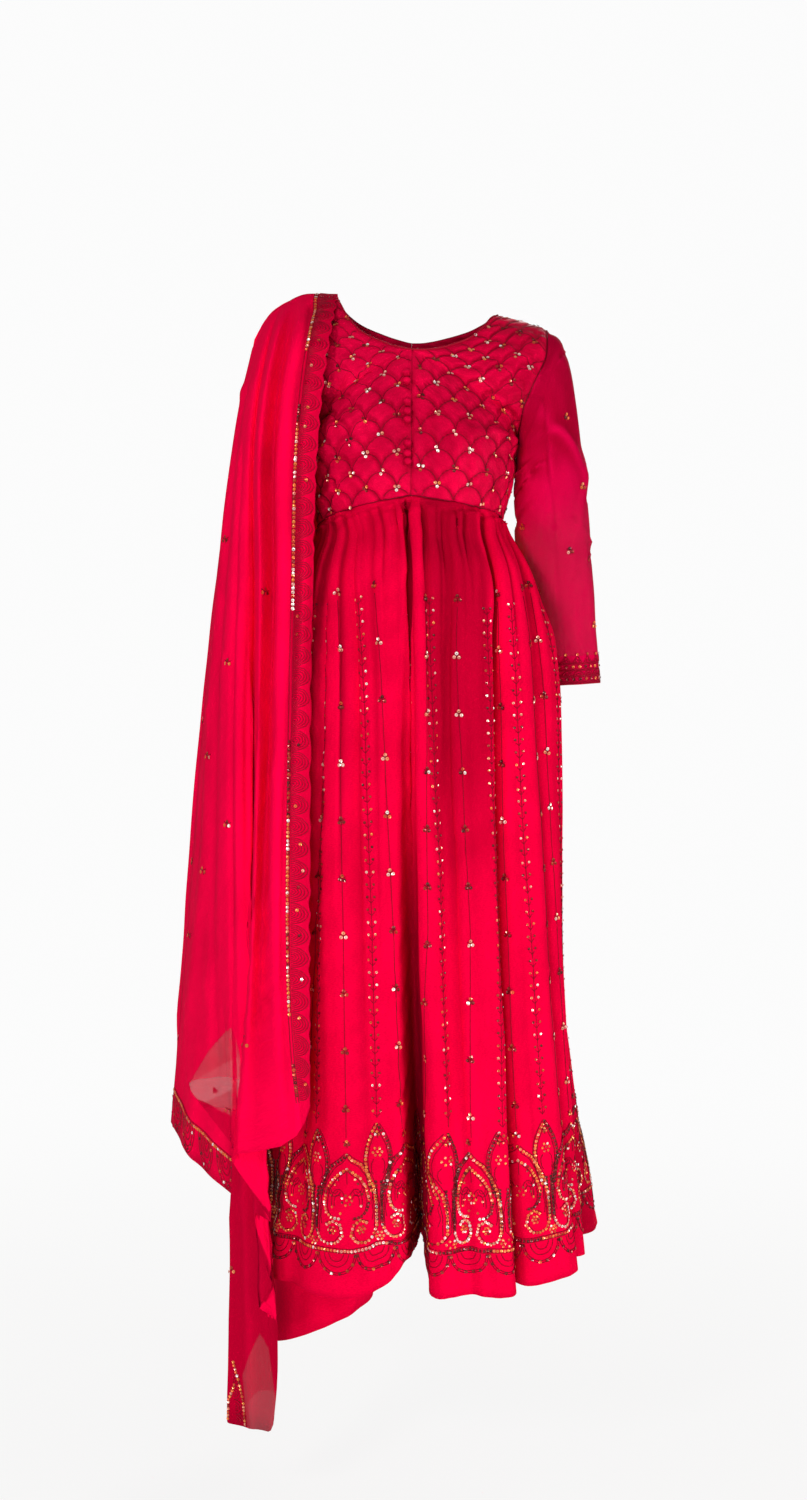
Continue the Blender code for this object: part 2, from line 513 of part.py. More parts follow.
# ----- salwar ----------------------------------------------------------------------------------
def leg_grid(table, right):
    """One trouser leg: a panel open down the middle seam, then round to the inseam."""
    rows = spline(np.array(table), np.linspace(0, len(table) - 1, 11))
    grid = []
    for z, mid_x, half, mid_y, depth in rows:
        reach = min(0.9999, (mid_x - 2 * SEAM_GAP) / half)
        start = -math.asin(reach)
        angles = np.linspace(start, math.pi - start, 17)
        ring = np.array([(mid_x + half * math.sin(a), mid_y - depth * math.cos(a), z)
                         for a in angles])
        fall = max(0.0, (-1.0 - z) / 0.274) if right else 0.0
        ring[:, 2] -= fall * HEM_SLANT * (ring[:, 0] - mid_x)
        if right:
            ring = ring[::-1] * np.array([-1.0, 1.0, 1.0])
        grid.append(ring)
    return np.array(grid)


def build_salwar():
    """Two legs and the waistband they hang from."""
    cloth("salwar_leg_left", leg_grid(LEFT_LEG, False), CRIMSON, WALL)
    cloth("salwar_leg_right", leg_grid(RIGHT_LEG, True), CRIMSON, WALL)
    top = LegRing._make(LEFT_LEG[0])
    band = [[(top.half_width * math.sin(a), top.mid_y - top.half_depth * math.cos(a), z)
             for a in np.linspace(0, 2 * math.pi, 28, endpoint=False)]
            for z in (WAISTBAND_TOP, -0.3600)]
    cloth("salwar_waistband", np.array(band), CRIMSON, 0.0020, closed=True, outside=0.0004)


# ----- dupatta ---------------------------------------------------------------------------------
def dupatta_lines(table):
    """Control points of the fold lines, as (level, line, 3), from the shoulder to the hem."""
    get = {name: column(table, DUPATTA_COLUMNS, name) for name in DUPATTA_COLUMNS}
    ridge = spline(RIDGE_LINE, get["ridge"] * (len(RIDGE_LINE) - 1))
    levels = [ridge]
    for name, z in DUPATTA_LEVELS:
        levels.append(np.stack([get[name + "_x"], get[name + "_y"],
                                np.full(len(table), z)], axis=1))
    chest = levels[1]
    round_shoulder = ridge + (chest - ridge) * np.array([SHOULDER_DROP, SHOULDER_REACH,
                                                         SHOULDER_DROP])
    levels.insert(1, round_shoulder)
    levels.append(np.stack([get["hem_x"], get["hem_y"], get["hem_z"]], axis=1))
    return np.array(levels)


def dupatta_grid(table, steps, rows):
    """Grid of one stretch, with `steps` points from each fold line to the next."""
    lines = dupatta_lines(table)
    lines = spline(lines, np.linspace(0, len(lines) - 1, rows))
    stations = np.linspace(0, len(table) - 1, (len(table) - 1) * steps + 1)
    return np.array([spline(line, stations) for line in lines])


def build_dupatta():
    """The front and back stretches, meeting over the shoulder and down the side."""
    front = trimmed(dupatta_grid(DUPATTA_FRONT, 2, 13), top=True, first=True)
    back = trimmed(dupatta_grid(DUPATTA_BACK, 2, 13), top=True, last=True)
    for edge in (np.s_[0, :, 1], np.s_[:, 0, 1]):
        front[edge] -= 3 * SEAM_GAP
    for edge in (np.s_[0, :, 1], np.s_[:, -1, 1]):
        back[edge] += 3 * SEAM_GAP
    cloth("dupatta_front", front, SHEER_CRIMSON, SHEER_WALL,
          square=((0, slice(None), 1), (slice(None), 0, 1)))
    cloth("dupatta_back", back, SHEER_CRIMSON, SHEER_WALL,
          square=((0, slice(None), 1), (slice(None), -1, 1)))


def main():
    """Clear the scene and build every piece of the suit."""
    for item in list(bpy.data.objects):
        bpy.data.objects.remove(item, do_unlink=True)
    build_bodice()
    build_buttons()
    build_sleeves()
    build_skirt()
    build_salwar()
    build_dupatta()


main()
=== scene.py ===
"""Finished look of a crimson salwar kameez suit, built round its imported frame.

Metres, +Z up, the front faces -Y and +X is the wearer's left. Every piece of cloth is a
grid of points whose rows run down the cloth and whose columns run from the front to +X.
Folds are rows of the tables, creases are pressed into the grid, and the embroidery is laid
on it by distance along the cloth, so that it follows every fold.
"""
import logging
import math
from dataclasses import dataclass, field
from enum import Enum
from typing import Callable, Iterable, NamedTuple, Sequence

import bpy
import numpy as np
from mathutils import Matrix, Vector


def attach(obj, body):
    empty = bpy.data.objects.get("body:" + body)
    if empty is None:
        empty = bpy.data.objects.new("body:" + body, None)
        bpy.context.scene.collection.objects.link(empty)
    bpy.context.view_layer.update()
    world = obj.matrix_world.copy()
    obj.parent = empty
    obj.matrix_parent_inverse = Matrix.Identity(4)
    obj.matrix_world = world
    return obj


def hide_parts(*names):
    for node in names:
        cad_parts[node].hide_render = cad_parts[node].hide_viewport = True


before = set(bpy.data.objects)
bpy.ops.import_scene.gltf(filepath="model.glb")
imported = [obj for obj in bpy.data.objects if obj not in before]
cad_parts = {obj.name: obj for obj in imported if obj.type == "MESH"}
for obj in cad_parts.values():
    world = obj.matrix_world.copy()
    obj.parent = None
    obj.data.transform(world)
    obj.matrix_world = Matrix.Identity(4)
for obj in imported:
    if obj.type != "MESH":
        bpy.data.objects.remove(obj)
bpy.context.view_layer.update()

LOG = logging.getLogger("suit")

Array, Piece = np.ndarray, bpy.types.Object
Socket, Material = bpy.types.NodeSocket, bpy.types.Material
Colour = tuple[float, float, float, float]

WALL = 0.0010            # kameez and salwar cloth
SHEER_WALL = 0.0006      # sleeves and dupatta
SEAM_GAP = 0.00016       # each piece stops this far short of its seam line
HEM_Z = -1.203
FALL_PASSES = 30         # how often the lines down the cloth are smoothed
WAVES = 9                # crossing waves that crumple a cloth
FADE_IN, FADE_OUT = 0.06, 0.14    # shares of the height that a crease starts and ends in
NEAR_ENOUGH = 0.0015     # a place counts as found when it lies this close


# ----- grids of cloth ----------------------------------------------------------------------
def spline(values: Sequence, stations: Iterable[float], closed: bool = False) -> Array:
    """Catmull-Rom curve through the first axis of an array.

    Args:
        values: Control values, one per station.
        stations: Fractional places along the first axis.
        closed: Whether the last value runs on into the first.

    Returns:
        One interpolated value for each station.
    """
    values = np.asarray(values, dtype=float)
    stations = np.asarray(list(stations), dtype=float)
    count = len(values)
    if closed:
        base = np.floor(stations).astype(int)
        near = [values[(base + k) % count] for k in (-1, 0, 1, 2)]
    else:
        base = np.clip(np.floor(stations).astype(int), 0, count - 2)
        padded = np.concatenate([[2 * values[0] - values[1]], values,
                                 [2 * values[-1] - values[-2]]])
        near = [padded[base + k] for k in range(4)]
    t = (stations - base).reshape((-1,) + (1,) * (values.ndim - 1))
    return 0.5 * (2 * near[1] + (near[2] - near[0]) * t
                  + (2 * near[0] - 5 * near[1] + 4 * near[2] - near[3]) * t ** 2
                  + (3 * near[1] - near[0] - 3 * near[2] + near[3]) * t ** 3)


def fall(levels: Array, count: int) -> Array:
    """Smooth lines down through levels that lie unevenly far apart.

    Args:
        levels: Points of every line on every level.
        count: Rows wanted.

    Returns:
        The lines' points on every row.
    """
    steps = np.linalg.norm(np.diff(levels, axis=0), axis=2).mean(axis=1)[:, None, None]
    slopes = np.diff(levels, axis=0) / steps
    inner = (slopes[:-1] * steps[1:] + slopes[1:] * steps[:-1]) / (steps[:-1] + steps[1:])
    slopes = np.concatenate([1.5 * slopes[:1] - 0.5 * inner[:1], inner,
                             1.5 * slopes[-1:] - 0.5 * inner[-1:]])
    places = np.linspace(0, len(steps), count)
    k = np.minimum(places.astype(int), len(steps) - 1)
    t, step = (places - k)[:, None, None], steps[k]
    lines = ((2 * t ** 3 - 3 * t ** 2 + 1) * levels[k] + (3 * t ** 2 - 2 * t ** 3) * levels[k + 1]
            + (t ** 3 - 2 * t ** 2 + t) * step * slopes[k]
            + (t ** 3 - t ** 2) * step * slopes[k + 1])
    for _ in range(FALL_PASSES):
        lines[1:-1] = (lines[:-2] + 2 * lines[1:-1] + lines[2:]) / 4
    return lines


def unit(vectors: Array) -> Array:
    """Vectors of an array, each brought to length one."""
    return vectors / np.maximum(np.linalg.norm(vectors, axis=-1, keepdims=True), 1e-12)


def smooth_step(values: Array) -> Array:
    """Soft ramp from 0 to 1 as the values go from 0 to 1."""
    values = np.clip(values, 0.0, 1.0)
    return values * values * (3 - 2 * values)


class Crease(NamedTuple):
    """A soft ridge or trough that runs down the cloth.

    Stations are fractions of the grid's own columns, rows are fractions of its height.
    """

    top: float
    bottom: float
    top_station: float
    bottom_station: float
    width: float
    height: float


class Drag(NamedTuple):
    """A soft ridge or trough that runs across the cloth, as where it is pulled or bent."""

    first: float
    last: float
    first_row: float
    last_row: float
    width: float
    height: float


@dataclass
class ClothGrid:
    """A sheet of cloth as a grid of points.

    Args:
        points: Array of (rows, columns, 3).
        stations: The table station of each column.
        closed: Whether the last column runs on into the first.
    """

    points: Array
    stations: Array
    closed: bool = False
    across: Array = field(init=False)
    down: Array = field(init=False)

    def __post_init__(self) -> None:
        """Measure the cloth."""
        self.measure()

    def measure(self) -> None:
        """Work out the distances along the rows and down the columns."""
        steps = np.linalg.norm(np.diff(self.points, axis=1), axis=2)
        self.across = np.pad(np.cumsum(steps, axis=1), ((0, 0), (1, 0)))
        steps = np.linalg.norm(np.diff(self.points, axis=0), axis=2)
        self.down = np.pad(np.cumsum(steps, axis=0), ((1, 0), (0, 0)))

    def normals(self) -> Array:
        """Outward normals of the grid points.

        Returns:
            One unit vector per grid point.
        """
        down = np.gradient(self.points, axis=0)
        if self.closed:
            across = np.roll(self.points, -1, axis=1) - np.roll(self.points, 1, axis=1)
        else:
            across = np.gradient(self.points, axis=1)
        return unit(np.cross(down, across))

    def press(self, creases: Iterable[Sequence[float]]) -> None:
        """Push ridges and troughs into the cloth along its normals.

        Args:
            creases: The creases; the height is positive for a ridge.
        """
        rows = np.linspace(0.0, 1.0, len(self.points))
        push = np.zeros(self.points.shape[:2])
        total = self.across[:, -1:]
        for crease in map(Crease._make, creases):
            part = np.clip((rows - crease.top) / (crease.bottom - crease.top), 0.0, 1.0)
            fade = (smooth_step((rows - crease.top) / FADE_IN + 0.5)
                    * smooth_step((crease.bottom - rows) / FADE_OUT + 0.5))
            station = crease.top_station + (crease.bottom_station - crease.top_station) * part
            centre = np.array([np.interp(s, self.stations, row)
                               for s, row in zip(station, self.across)])[:, None]
            away = self.across - centre
            if self.closed:
                away = (away + total / 2) % total - total / 2
            push += fade[:, None] * crease.height * np.exp(-(away / crease.width) ** 2)
        self.points = self.points + self.normals() * push[..., None]

    def pull(self, drags: Iterable[Sequence[float]]) -> None:
        """Push ridges and troughs that run across the cloth.

        Args:
            drags: The drags, from their first to their last station.
        """
        rows = np.linspace(0.0, 1.0, len(self.points))
        push = np.zeros(self.points.shape[:2])
        for drag in map(Drag._make, drags):
            stations = self.stations
            if self.closed and drag.first < 0:
                half = (stations.max() + 1) / 2
                stations = np.where(stations > half, stations - stations.max() - 1, stations)
            part = (stations - drag.first) / (drag.last - drag.first)
            fade = smooth_step(part / 0.3) * smooth_step((1 - part) / 0.3)
            level = drag.first_row + (drag.last_row - drag.first_row) * np.clip(part, 0, 1)
            for j in np.flatnonzero(fade > 0):
                centre = np.interp(level[j], rows, self.down[:, j])
                push[:, j] += (fade[j] * drag.height
                               * np.exp(-((self.down[:, j] - centre) / drag.width) ** 2))
        self.points = self.points + self.normals() * push[..., None]

    def ripple(self, size: float, height: float, seed: int, stretch: float = 2.5) -> None:
        """Crumple the cloth a little with a few crossing waves.

        Args:
            size: Typical distance between two crests across the cloth.
            height: Height of the crests.
            seed: Seed of the waves.
            stretch: How much longer the waves are down the cloth than across it.
        """
        draw = np.random.default_rng(seed)
        waves = np.zeros(self.points.shape[:2])
        for _ in range(WAVES):
            length = size * draw.uniform(0.6, 1.9)
            lean = draw.uniform(-1.0, 1.0)
            phase = draw.uniform(0, 2 * math.pi)
            warp = 0.6 * np.sin(self.down * 2 * math.pi / (size * stretch * 2.3) + phase * 3)
            waves += np.sin((self.across + lean * self.down / stretch) * 2 * math.pi / length
                            + warp + phase) * length / size
        edge = 1.0
        if not self.closed:
            width = self.across[:, -1:]
            edge = smooth_step(np.minimum(self.across, width - self.across) / size)
        self.points = self.points + self.normals() * (waves * edge * height / WAVES)[..., None]

    def place(self, row: Array, column: Array) -> Array:
        """Points of the cloth at fractional rows and columns."""
        return self.blend(self.points, row, column)

    def blend(self, values: Array, row: Array, column: Array) -> Array:
        """Read an array of the grid between its rows and columns.

        Args:
            values: One value or point per grid point.
            row: Fractional rows.
            column: Fractional columns.

        Returns:
            One value or point per place.
        """
        count = self.points.shape[1]
        row = np.clip(row, 0, len(self.points) - 1.0001)
        i = row.astype(int)
        if self.closed:
            floor = np.floor(column)
            j, k = floor.astype(int) % count, (floor.astype(int) + 1) % count
            q = column - floor
        else:
            column = np.clip(column, 0, count - 1.0001)
            j = column.astype(int)
            k, q = j + 1, column - j
        p = (row - i)[..., None]
        q = q[..., None]
        data = values if values.ndim == 3 else values[..., None]
        value = ((data[i, j] * (1 - p) + data[i + 1, j] * p) * (1 - q)
                 + (data[i, k] * (1 - p) + data[i + 1, k] * p) * q)
        return value if values.ndim == 3 else value[..., 0]

    def hollows(self, reach: float) -> Array:
        """How deep each spot lies in a fold: 1 in a deep valley, -1 on a sharp ridge.

        Args:
            reach: Distance across the cloth over which a fold is judged.

        Returns:
            One value per grid point, from -1 to 1.
        """
        count = self.points.shape[1]
        step = float(np.median(np.diff(self.across, axis=1)))
        half = max(2, int(reach / step))
        pad = half * 2
        mode = "wrap" if self.closed else "edge"
        wide = np.pad(self.points, ((0, 0), (pad, pad), (0, 0)), mode=mode)
        kernel = np.hanning(2 * half + 3)[1:-1]
        kernel /= kernel.sum()
        mean = np.empty_like(wide)
        for axis in range(3):
            for i, line in enumerate(wide[..., axis]):
                mean[i, :, axis] = np.convolve(line, kernel, mode="same")
        mean = mean[:, pad:pad + count]
        depth = np.sum((mean - self.points) * self.normals(), axis=2)
        return np.clip(depth / (reach * 0.25), -1.0, 1.0)

    def cut(self, picks: Sequence[int]) -> "ClothGrid":
        """A panel made of some of the columns."""
        return ClothGrid(self.points[:, picks], self.stations[list(picks)])


def trim(points: Array, edges: str) -> Array:
    """Pull edges of a grid back by the seam gap.

    Args:
        points: Grid points.
        edges: Letters of the edges: t top, b bottom, f first column, l last column.

    Returns:
        The trimmed grid points.
    """
    points = points.copy()
    for letter, edge, beside in (("t", np.s_[0], np.s_[1]), ("b", np.s_[-1], np.s_[-2]),
                                 ("f", np.s_[:, 0], np.s_[:, 1]),
                                 ("l", np.s_[:, -1], np.s_[:, -2])):
        if letter in edges:
            points[edge] = points[edge] + unit(points[beside] - points[edge]) * SEAM_GAP
    return points


class Found(NamedTuple):
    """Grid places, and whether each lies on the cloth."""

    rows: Array
    columns: Array
    inside: Array


@dataclass
class ClothMap:
    """Finds grid places by two distances measured along the cloth.

    Args:
        grid: The cloth.
        right: Distance across the cloth of every grid point.
        up: Distance up the cloth of every grid point.
        margin: How far inside the cloth's edge a place has to lie, in grid steps.
    """

    grid: ClothGrid
    right: Array
    up: Array
    margin: float = 0.3

    def __call__(self, right: Array, up: Array) -> Found:
        """Grid places at the given distances across and up the cloth.

        Args:
            right: Distances across the cloth.
            up: Distances up the cloth.

        Returns:
            The places, and whether each lies on the cloth.
        """
        shape = self.right.shape
        flat = self.right.ravel(), self.up.ravel()
        near = np.array([np.argmin((flat[0] - x) ** 2 + (flat[1] - y) ** 2)
                         for x, y in zip(right, up)], dtype=int)
        rows, columns = (place.astype(float) for place in np.unravel_index(near, shape))
        slopes = [np.gradient(values, axis=axis) for values in (self.right, self.up)
                  for axis in (0, 1)]
        for _ in range(4):
            miss_x = right - self.grid.blend(self.right, rows, columns)
            miss_y = up - self.grid.blend(self.up, rows, columns)
            a, b, c, d = (self.grid.blend(slope, rows, columns) for slope in slopes)
            size = a * d - b * c
            size = np.where(abs(size) < 1e-9, 1e-9, size)
            rows = np.clip(rows + np.clip((miss_x * d - miss_y * b) / size, -1, 1),
                           0, shape[0] - 1)
            columns = np.clip(columns + np.clip((miss_y * a - miss_x * c) / size, -1, 1),
                              0, shape[1] - 1)
        miss = np.hypot(right - self.grid.blend(self.right, rows, columns),
                        up - self.grid.blend(self.up, rows, columns))
        edge = ((rows > self.margin) & (rows < shape[0] - 1 - self.margin)
                & (columns > self.margin) & (columns < shape[1] - 1 - self.margin))
        return Found(rows, columns, (miss < NEAR_ENOUGH) & edge)


def put(name: str, data: bpy.types.ID) -> Piece:
    """Put a new object in the scene.

    Args:
        name: Name of the object.
        data: Its mesh, lamp or camera.

    Returns:
        The new object.
    """
    piece = bpy.data.objects.new(name, data)
    bpy.context.scene.collection.objects.link(piece)
    return piece


def shell(name: str, grid: ClothGrid, wall: float,
          normals: Array | None = None) -> Piece:
    """Make a cloth shell with a wall and a UV map in metres along the cloth.

    Args:
        name: Name of the piece.
        grid: The outer face of the cloth.
        wall: Thickness of the cloth.
        normals: Outward normals, if the grid is a panel of a larger one.

    Returns:
        The new object.
    """
    normals = grid.normals() if normals is None else normals
    rows, count = grid.points.shape[:2]
    outer = grid.points.reshape(-1, 3)
    inner = (grid.points - normals * wall).reshape(-1, 3)
    half = rows * count
    columns = np.arange(count if grid.closed else count - 1)
    i, j = np.meshgrid(np.arange(rows - 1), columns, indexing="ij")
    i, j = i.ravel(), j.ravel()
    k = (j + 1) % count
    a, b, c, d = i * count + j, (i + 1) * count + j, (i + 1) * count + k, i * count + k
    faces = [np.stack([a, b, c, d], 1), np.stack([a, d, c, b], 1) + half]
    end, j = (rows - 1) * count, columns
    k = (j + 1) % count
    faces.append(np.stack([j, k, k + half, j + half], 1))
    faces.append(np.stack([end + j, end + j + half, end + k + half, end + k], 1))
    if not grid.closed:
        i = np.arange(rows - 1) * count
        last = i + count - 1
        faces.append(np.stack([i, i + half, i + count + half, i + count], 1))
        faces.append(np.stack([last, last + count, last + count + half, last + half], 1))
    faces = np.concatenate(faces)
    mesh = bpy.data.meshes.new(name)
    mesh.vertices.add(2 * half)
    mesh.vertices.foreach_set("co", np.concatenate([outer, inner]).ravel())
    mesh.loops.add(faces.size)
    mesh.loops.foreach_set("vertex_index", faces.ravel())
    mesh.polygons.add(len(faces))
    mesh.polygons.foreach_set("loop_start", np.arange(0, faces.size, 4))
    mesh.update(calc_edges=True)
    mesh.polygons.foreach_set("use_smooth", np.ones(len(faces), dtype=bool))
    layer = mesh.uv_layers.new(name="Cloth")
    flat = np.stack([grid.across, -grid.down], -1).reshape(-1, 2)
    layer.data.foreach_set("uv", np.concatenate([flat, flat])[faces.ravel()].ravel())
    mesh.validate()
    piece = put(name, mesh)
    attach(piece, "root")
    return piece


def paint(piece: Piece, label: str, values: Array) -> None:
    """Write a value per grid point on a cloth shell.

    Args:
        piece: The cloth shell.
        label: "hollow" for painted shade, deepest in a fold; on sheer cloth also "open" for the
        light that passes, and "single", "bare" and "lit" for how far inside such a patch a spot
        lies, a "lit" patch being painted light that keeps the painted shade off.
        values: One value per grid point.
    """
    attribute = piece.data.attributes.new(label, "FLOAT", "POINT")
    attribute.data.foreach_set("value", np.resize(values, len(piece.data.vertices)))


# ----- finishes ------------------------------------------------------------------------------
class Nodes:
    """A node tree, with a short way to add and link nodes."""

    prefix = ""
    tree: bpy.types.NodeTree

    def add(self, kind: str, values: dict | None = None, **settings: object) -> bpy.types.Node:
        """Add a node.

        Args:
            kind: Node type without the tree's prefix.
            values: Input values or sockets to link, by input name or index.
            settings: Properties of the node.

        Returns:
            The new node.
        """
        node = self.tree.nodes.new(self.prefix + kind)
        for key, value in settings.items():
            setattr(node, key, value)
        for key, value in (values or {}).items():
            if isinstance(value, Socket):
                self.tree.links.new(value, node.inputs[key])
            else:
                node.inputs[key].default_value = value
        return node


class Board(Nodes):
    """A material's node tree."""

    prefix = "ShaderNode"

    def __init__(self, name: str) -> None:
        """Start an empty material with its output.

        Args:
            name: Name of the material.
        """
        self.material = bpy.data.materials.new(name)
        self.material.use_nodes = True
        self.tree = self.material.node_tree
        self.tree.nodes.clear()
        self.output = self.tree.nodes.new("ShaderNodeOutputMaterial")

    def ramp(self, factor: Socket, stops: Sequence[tuple[float, tuple[float, ...]]]) -> Socket:
        """Colour ramp of the given stops.

        Args:
            factor: Where on the ramp each spot lies.
            stops: Places and colours along the ramp.

        Returns:
            The colour.
        """
        node = self.add("ValToRGB", {0: factor})
        while len(node.color_ramp.elements) < len(stops):
            node.color_ramp.elements.new(0.5)
        for element, (place, colour) in zip(node.color_ramp.elements, stops):
            element.position, element.color = place, colour
        return node.outputs[0]

    def attribute(self, label: str) -> Socket:
        """Value of a named attribute of the piece."""
        return self.add("Attribute", attribute_name=label).outputs["Fac"]

    def times(self, one: object, two: object) -> Socket:
        """Product of two values or sockets."""
        return self.add("Math", {0: one, 1: two}, operation="MULTIPLY").outputs[0]

    def noise(self, place: Socket, scale: float, detail: float, **more: float) -> Socket:
        """Noise over a place, with more inputs by name."""
        return self.add("TexNoise", {"Vector": place, "Scale": scale, "Detail": detail,
                                     **more}).outputs[0]

    def rescale(self, value: Socket, *ends: float, **settings: str) -> Socket:
        """A value brought from between the first two ends to between the last two."""
        return self.add("MapRange", {0: value, **dict(enumerate(ends, 1))}, **settings).outputs[0]

    def close(self, shader: bpy.types.Node) -> Material:
        """Link the shader to the output and return the material."""
        self.tree.links.new(shader.outputs[0], self.output.inputs[0])
        return self.material


class Weave(Enum):
    """How fine and how crinkled a cloth is."""

    CREPE = (950.0, 260.0, 0.22)
    SILK = (1500.0, 1400.0, 0.08)
    CHIFFON = (1100.0, 420.0, 0.12)


@dataclass(frozen=True)
class ClothFinish:
    """Finish of a cloth in uneven dye, with painted shade in its crinkles and its folds.

    Args:
        name: Name of the material.
        lit: Colour of the crests of the crinkles, with painted light on them.
        deep: Colour of the crinkles' hollows as painted shade, and of the uneven dye.
        weave: Kind of weave.
        roughness: Roughness of the threads.
        sheen: Weight of the sheen.
        sheen_tint: Colour of the sheen.
        specular: Specular level.
        sheer: Whether light passes where the cloth lies single.
        crumple: How strongly the soft crumples show.
        fold: Colour of the painted shade in the valleys of the folds and other shaded places.
        depth: How strongly the painted shade shows there.
    """

    name: str
    lit: Colour
    deep: Colour
    weave: Weave
    roughness: float
    sheen: float
    sheen_tint: Colour
    specular: float = 0.25
    sheer: bool = False
    crumple: float = 0.40
    fold: Colour = (0.30, 0.0002, 0.014, 1)
    depth: float = 0.8

    def material(self) -> Material:
        """Build the material.

        Returns:
            The new material.
        """
        board = Board(self.name)
        along, across, strength = self.weave.value
        uv = board.add("UVMap", uv_map="Cloth").outputs[0]
        stretched = board.add("Mapping", {0: uv, "Scale": (across, along, 1.0)}).outputs[0]
        crinkle = board.noise(stretched, 1.0, 3.0, Roughness=0.6)
        place = board.add("TexCoord").outputs["Object"]
        patches = board.noise(place, 14.0, 3.0)
        mixed = board.times(crinkle, patches)
        # painted light and shade of the crinkles, mixed with patches of uneven dye
        dye_and_crinkle_shade = board.ramp(mixed, ((0.12, self.deep), (0.34, self.lit)))
        # painted shade: the hollow attribute blends the colour towards the fold colour, except in
        # the lit patches of sheer cloth, which are painted light
        hollow = board.attribute("hollow")
        if self.sheer:
            lit = board.attribute("lit")
            unlit = board.rescale(lit, 0.0004, 0.0024, 1.0, 0.1)
            hollow = board.times(hollow, unlit)
        depth = board.rescale(hollow, -0.15, 0.9, 0.0, self.depth, interpolation_type="SMOOTHSTEP")
        colour = board.add("Mix", {0: depth, 6: dye_and_crinkle_shade, 7: self.fold}, data_type="RGBA").outputs[2]
        soft = board.noise(uv, 75.0, 4.0)
        coarse = board.add("Bump", {"Height": soft, "Strength": self.crumple, "Distance": 0.0030})
        fine = board.add("Bump", {"Height": crinkle, "Strength": strength, "Distance": 0.0006,
                                  "Normal": coarse.outputs[0]})
        shader = board.add("BsdfPrincipled", {
            "Base Color": colour, "Roughness": self.roughness, "Normal": fine.outputs[0],
            "Specular IOR Level": self.specular, "Specular Tint": (1.0, 0.10, 0.30, 1),
            "Sheen Weight": self.sheen,
            "Sheen Roughness": 0.45, "Sheen Tint": self.sheen_tint})
        if self.sheer:
            opening = board.attribute("open")
            for label, base, share in (("single", 0.0, 1.0), ("bare", 1.0, 1.35)):
                inside = board.attribute(label)
                edge = board.rescale(inside, 0.0002, 0.0022, base, share)
                opening = board.times(opening, edge)
            alpha = board.add("Math", {0: 1.0, 1: opening}, operation="SUBTRACT",
                              use_clamp=True).outputs[0]
            board.tree.links.new(alpha, shader.inputs["Alpha"])
        return board.close(shader)


@dataclass(frozen=True)
class ThreadFinish:
    """Finish of embroidery thread and cord."""

    name: str
    colour: Colour
    dark: Colour
    roughness: float = 0.5

    def material(self) -> Material:
        """Build the material, with the twist of the strands as bump.

        Returns:
            The new material.
        """
        board = Board(self.name)
        place = board.add("TexCoord").outputs["Object"]
        strands = board.noise(place, 900.0, 2.0)
        colour = board.ramp(strands, ((0.35, self.dark), (0.65, self.colour)))
        bump = board.add("Bump", {"Height": strands, "Strength": 0.4, "Distance": 0.0004})
        shader = board.add("BsdfPrincipled", {
            "Base Color": colour, "Roughness": self.roughness, "Normal": bump.outputs[0],
            "Specular IOR Level": 0.12})
        return board.close(shader)


@dataclass(frozen=True)
class SequinFinish:
    """Finish of the sequins: each takes its metal and its painted reflection from its own tint."""

    name: str
    stops: tuple[tuple[float, Colour], ...]

    def material(self) -> Material:
        """Build the material.

        Returns:
            The new material.
        """
        board = Board(self.name)
        tint = board.attribute("tint")
        colour = board.ramp(tint, self.stops)
        shader = board.add("BsdfPrincipled", {
            "Base Color": colour, "Metallic": 0.5, "Roughness": 0.28,
            "Coat Weight": 0.4, "Coat Roughness": 0.1})
        return board.close(shader)


CRIMSON_CREPE = ClothFinish("crimson_crepe", (0.86, 0.0001, 0.045, 1), (0.66, 0.0001, 0.032, 1),
                            Weave.CREPE, 0.85, 0.02, (1.0, 0.01, 0.14, 1), 0.01)
BODICE_SILK = ClothFinish("bodice_silk", (0.86, 0.0012, 0.056, 1), (0.38, 0.0001, 0.023, 1),
                          Weave.SILK, 0.44, 0.02, (1.0, 0.02, 0.24, 1), 0.06, False, 0.9)
SHEER_DUPATTA = ClothFinish("sheer_dupatta", (0.96, 0.0004, 0.058, 1), (0.80, 0.0002, 0.046, 1),
                            Weave.CHIFFON, 0.78, 0.03, (1.0, 0.02, 0.18, 1), 0.02, True)
SHEER_SLEEVE = ClothFinish("sheer_sleeve", (0.68, 0.0008, 0.060, 1), (0.50, 0.0004, 0.042, 1),
                           Weave.CHIFFON, 0.78, 0.04, (1.0, 0.03, 0.20, 1), 0.02, True)
DARK_THREAD = ThreadFinish("dark_thread", (0.24, 0.0002, 0.014, 1), (0.12, 0.0001, 0.008, 1))
BORDER_THREAD = ThreadFinish("border_thread", (0.46, 0.0005, 0.030, 1), (0.26, 0.0003, 0.016, 1))
PIPING = ThreadFinish("piping", (0.40, 0.001, 0.022, 1), (0.26, 0.001, 0.014, 1), 0.6)
# dark painted reflection at the foot of the ramp, the metals in the middle, a white painted glint
# at the top
SEQUINS = SequinFinish("sequins", (
    (0.00, (0.06, 0.004, 0.004, 1)), (0.20, (0.26, 0.015, 0.010, 1)),
    (0.40, (0.72, 0.11, 0.030, 1)), (0.60, (0.92, 0.30, 0.060, 1)),
    (0.84, (0.86, 0.36, 0.28, 1)), (1.00, (1.0, 0.92, 0.88, 1))))


